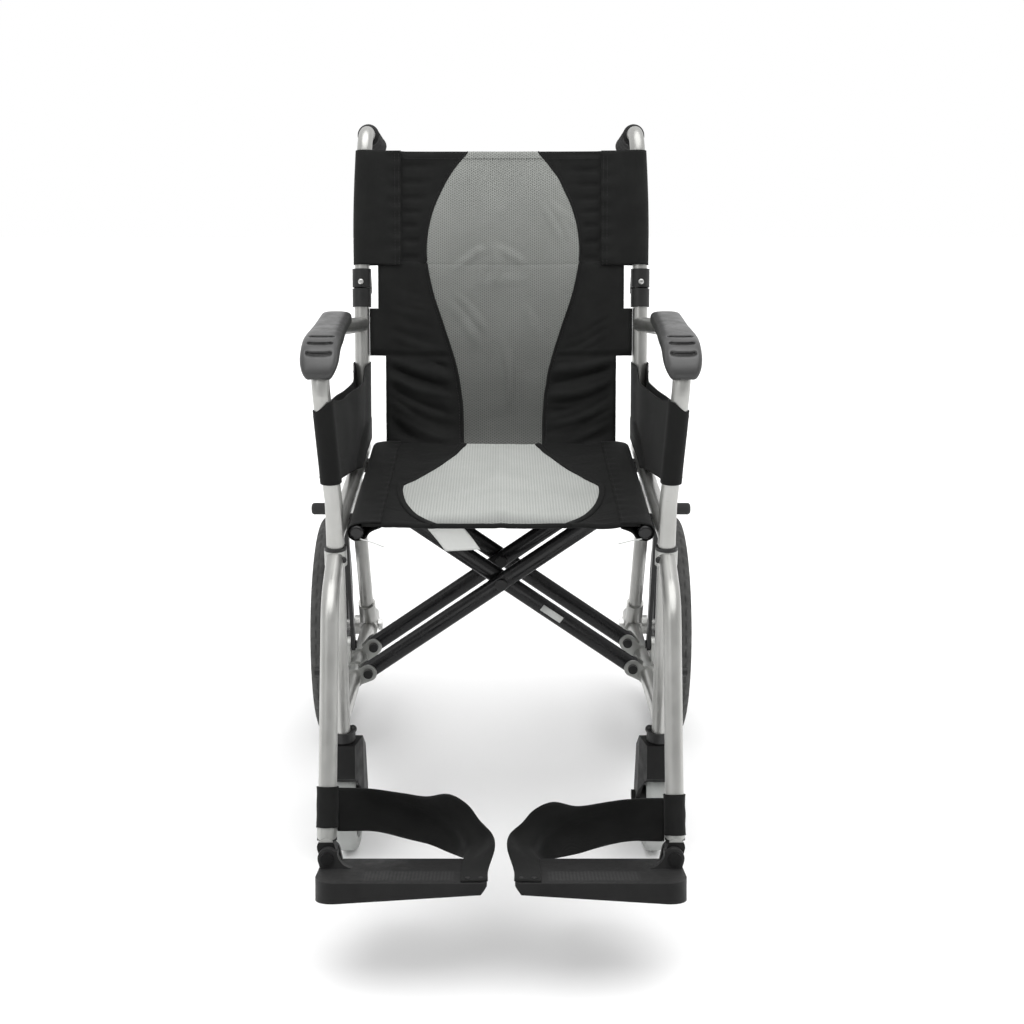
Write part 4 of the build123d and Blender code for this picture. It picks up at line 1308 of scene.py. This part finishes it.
def add_tyre(side):
    """Rear tyre with a block tread."""
    centre = middle(f"{side}_rear_tyre")
    low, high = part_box(f"{side}_rear_tyre")
    outer = (high.z - low.z) / 2
    half = (high.x - low.x) / 2
    bead = outer - TYRE_SECTION
    steps = TREAD_BLOCKS * BLOCK_STEPS
    rings = []
    for i in range(steps):
        turn = 2 * math.pi * i / steps
        section = []
        for degrees in range(-90, 91, 9):
            wide = math.sin(math.radians(degrees))
            crown = 0.10 + 0.90 * max(0.0, math.cos(math.radians(degrees))) ** 0.62
            r = bead + (outer - bead) * crown - tread_cut(wide, i % BLOCK_STEPS)
            section.append((wide if abs(wide) < 0.995 else math.copysign(0.86, wide), r))
        section += [(x, bead - 0.0005) for x in (0.66, 0.0, -0.66)]
        out = Vector((0, math.sin(turn), math.cos(turn)))
        rings.append([centre + Vector((x * half, 0, 0)) + out * r for x, r in section])
    obj = crisp(skin(f"rear_tyre_tread_{side}", rings, TYRE, looped=True), 40)
    carry(obj, f"{side}_rear_wheel")
    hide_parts(f"{side}_rear_tyre")
    return obj


# Small trim

LABEL_WALL = 0.0004


def disc(name, centre, normal, radius, height, material, slot_count=20):
    """Low domed screw head or rivet."""
    normal = normal.normalized()
    u = normal.cross(Vector((0.31, 0.2, 0.93))).normalized()
    v = normal.cross(u)
    rings = []
    for r, h in ((1.0, 0.0), (1.0, 0.45), (0.86, 0.8), (0.5, 1.0), (0.16, 1.04)):
        rings.append([centre + normal * height * h + (u * math.cos(t) + v * math.sin(t)) * radius * r
                      for t in (2 * math.pi * k / slot_count for k in range(slot_count))])
    return skin(name, rings, material)


def card(name, corner, across, down, thick, material, curl=0.0):
    """Thin label between two edges, with an optional curl."""
    normal = across.cross(down).normalized()
    front, back = [], []
    for i in range(13):
        row, rear = [], []
        for k in range(13):
            a, b = k / 12, i / 12
            point = corner + across * a + down * b + normal * curl * math.sin(math.pi * b) * (0.6 + 0.4 * a)
            row.append(point)
            rear.append(point - normal * thick)
        front.append(row)
        back.append(rear)
    return sheet_between(name, front, back, [material])


def add_trim(side):
    """Hinge screw, strap rivets and collar bolt of one side."""
    sign = SIDES[side]
    front_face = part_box(f"{side}_hinge_upper")[0].y
    screw = Vector((sign * 0.207, front_face - 0.0002, HINGE.z + 0.012))
    head = disc(f"hinge_screw_{side}", screw, Vector((0, -1, 0.12)), 0.0042, 0.0022, STEEL)
    carry(head, f"{side}_upper_back")
    for n, x in enumerate((23, 38)):
        spot = at(sign * x, -690, 115.8 + 0.2767 * 87.5 + 2.6)
        rivet = disc(f"strap_rivet_{side}_{n}", spot, PLATE_UP, 0.0032, 0.0016, PLASTIC)
        carry(rivet, f"{side}_foot_rest")
    knob = at(sign * 196, -434, 437)
    bolt = disc(f"collar_bolt_{side}", knob, Vector((0, -1, 0)), 0.0042, 0.0035, PLASTIC)
    carry(bolt, f"{side}_frame")


def add_labels():
    """Blank care tag under the front of the seat, blank sticker on the brace, and cable tie tails."""
    across, down = Vector((0.044, 0.001, 0.002)), Vector((0.026, 0.004, -0.036))
    tag = card("care_tag", at(-96, -409, 474), across, down, LABEL_WALL, TAG, 0.004)
    carry(tag, "left_brace")
    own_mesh(tag)
    along = Vector((-BRACE_ARM.x, 0, BRACE_ARM.z)).normalized()
    across = Vector((along.z, 0, -along.x))
    centre = BRACE_FOOT + along * 0.141
    face = AXLE.y - 0.233
    front, back = [], []
    for i in range(9):
        w = -0.0048 + 0.0096 * i / 8
        depth = 0.0075 * math.sqrt(1 - (w / 0.012) ** 2) + 0.0001
        middle_point = Vector((centre.x, face - depth, centre.z)) + across * w
        row = [middle_point + along * a for a in (-0.017, 0.0, 0.017)]
        front.append([p - Vector((0, 0.0002, 0)) for p in row])
        back.append([p + Vector((0, LABEL_WALL, 0)) for p in row])
    sticker = sheet_between("brace_sticker", front, back, [TAG])
    carry(sticker, "left_brace")
    for side, sign in SIDES.items():
        lift = 2 if side == "left" else 0
        tail = through([(sign * 172, -404, 452), (sign * 176, -413, 457), (sign * 160, -416, 453 + lift),
                        (sign * 146, -413, 446 + 2 * lift)], 20)
        tie = tube(f"cable_tie_{side}", [at(*p) for p in tail], 0.0009, TAG, 6)
        carry(tie, RAIL_BODY[side])


back = add_back()
for part, edge in (("upper", UPPER_X), ("lower", SHOULDER_X)):
    for piece in back[part]:
        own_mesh(piece)
seat = add_seat()
for side, sign in SIDES.items():
    for piece in seat[side]:
        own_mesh(piece)
    add_sleeve(side)
    add_seat_sleeve(side)
    add_guard(side)
    band = add_strap(side)
    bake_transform(band)
    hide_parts(f"{side}_heel_strap")
    add_strap_sleeve(side)
    add_arm_pad(side)
    add_grip(side)
    add_tyre(side)
    add_trim(side)
add_labels()


# Floor, light and camera

SENSOR = 36
LENS = 52.734375
LENS_SHIFT = 0.0107421875
CAMERA_AWAY, CAMERA_HEIGHT = 2.190, 1.070
CAMERA_TILT = 18
FLOOR = 6.0
WORLD_RAMP = (-0.9, 0.2, 0.42, 0.95)


def studio_white():
    look = Look("studio_white")
    tone = look.mix(look.noise(3, 2), 0.93 * 0.985, 0.93)
    return look.finish(tone, 0.95, look.noise(3, 2), 0.0)


def add_stage():
    """White floor and a bright world, dimmer in front, which the camera sees as plain white."""
    corners = [(-FLOOR, -FLOOR, 0), (FLOOR, -FLOOR, 0), (FLOOR, FLOOR, 0), (-FLOOR, FLOOR, 0)]
    floor = new_object("studio_floor", corners, [(0, 1, 2, 3)], [studio_white()])
    world = bpy.data.worlds.new("studio")
    bpy.context.scene.world = world
    world.use_nodes = True
    nodes, links = world.node_tree.nodes, world.node_tree.links
    backdrop = nodes["Background"]
    backdrop.inputs["Color"].default_value = (1, 1, 1, 1)
    parts = nodes.new("ShaderNodeSeparateXYZ")
    front = nodes.new("ShaderNodeMapRange")
    for key, value in enumerate(WORLD_RAMP, 1):
        front.inputs[key].default_value = value
    pick = nodes.new("ShaderNodeMath")
    pick.operation = "MAXIMUM"
    links.new(nodes.new("ShaderNodeTexCoord").outputs["Generated"], parts.inputs[0])
    links.new(parts.outputs["Y"], front.inputs[0])
    links.new(front.outputs[0], pick.inputs[0])
    links.new(nodes.new("ShaderNodeLightPath").outputs["Is Camera Ray"], pick.inputs[1])
    links.new(pick.outputs[0], backdrop.inputs["Strength"])


def add_sun():
    """Very wide sun, for soft shadows from above."""
    data = bpy.data.lights.new("sun", "SUN")
    data.angle = math.radians(75)
    data.energy = 2.4
    lamp = bpy.data.objects.new("sun", data)
    lamp.rotation_euler = (math.radians(12), math.radians(6), 0)
    bpy.context.scene.collection.objects.link(lamp)


def add_light(name, place, target, size, power):
    data = bpy.data.lights.new(name, "AREA")
    data.shape = "RECTANGLE"
    data.size, data.size_y = size
    data.energy = power
    lamp = bpy.data.objects.new(name, data)
    lamp.location = place
    lamp.rotation_mode = "QUATERNION"
    lamp.rotation_quaternion = (Vector(target) - Vector(place)).to_track_quat("-Z", "Y")
    bpy.context.scene.collection.objects.link(lamp)


def add_camera():
    """Camera in front of the chair, looking down at it."""
    data = bpy.data.cameras.new("camera")
    data.sensor_width = SENSOR
    data.lens = LENS
    data.shift_x = LENS_SHIFT
    camera = bpy.data.objects.new("camera", data)
    camera.location = (0, AXLE.y - CAMERA_AWAY, CAMERA_HEIGHT)
    camera.rotation_euler = (math.radians(90 - CAMERA_TILT), 0, 0)
    bpy.context.scene.collection.objects.link(camera)
    bpy.context.scene.camera = camera


add_stage()
add_sun()
add_light("fill", (-1.6, -1.8, 1.9), (0, 0, 0.5), (1.4, 1.4), 8)
add_camera()
bpy.context.scene.view_settings.view_transform = "Standard"
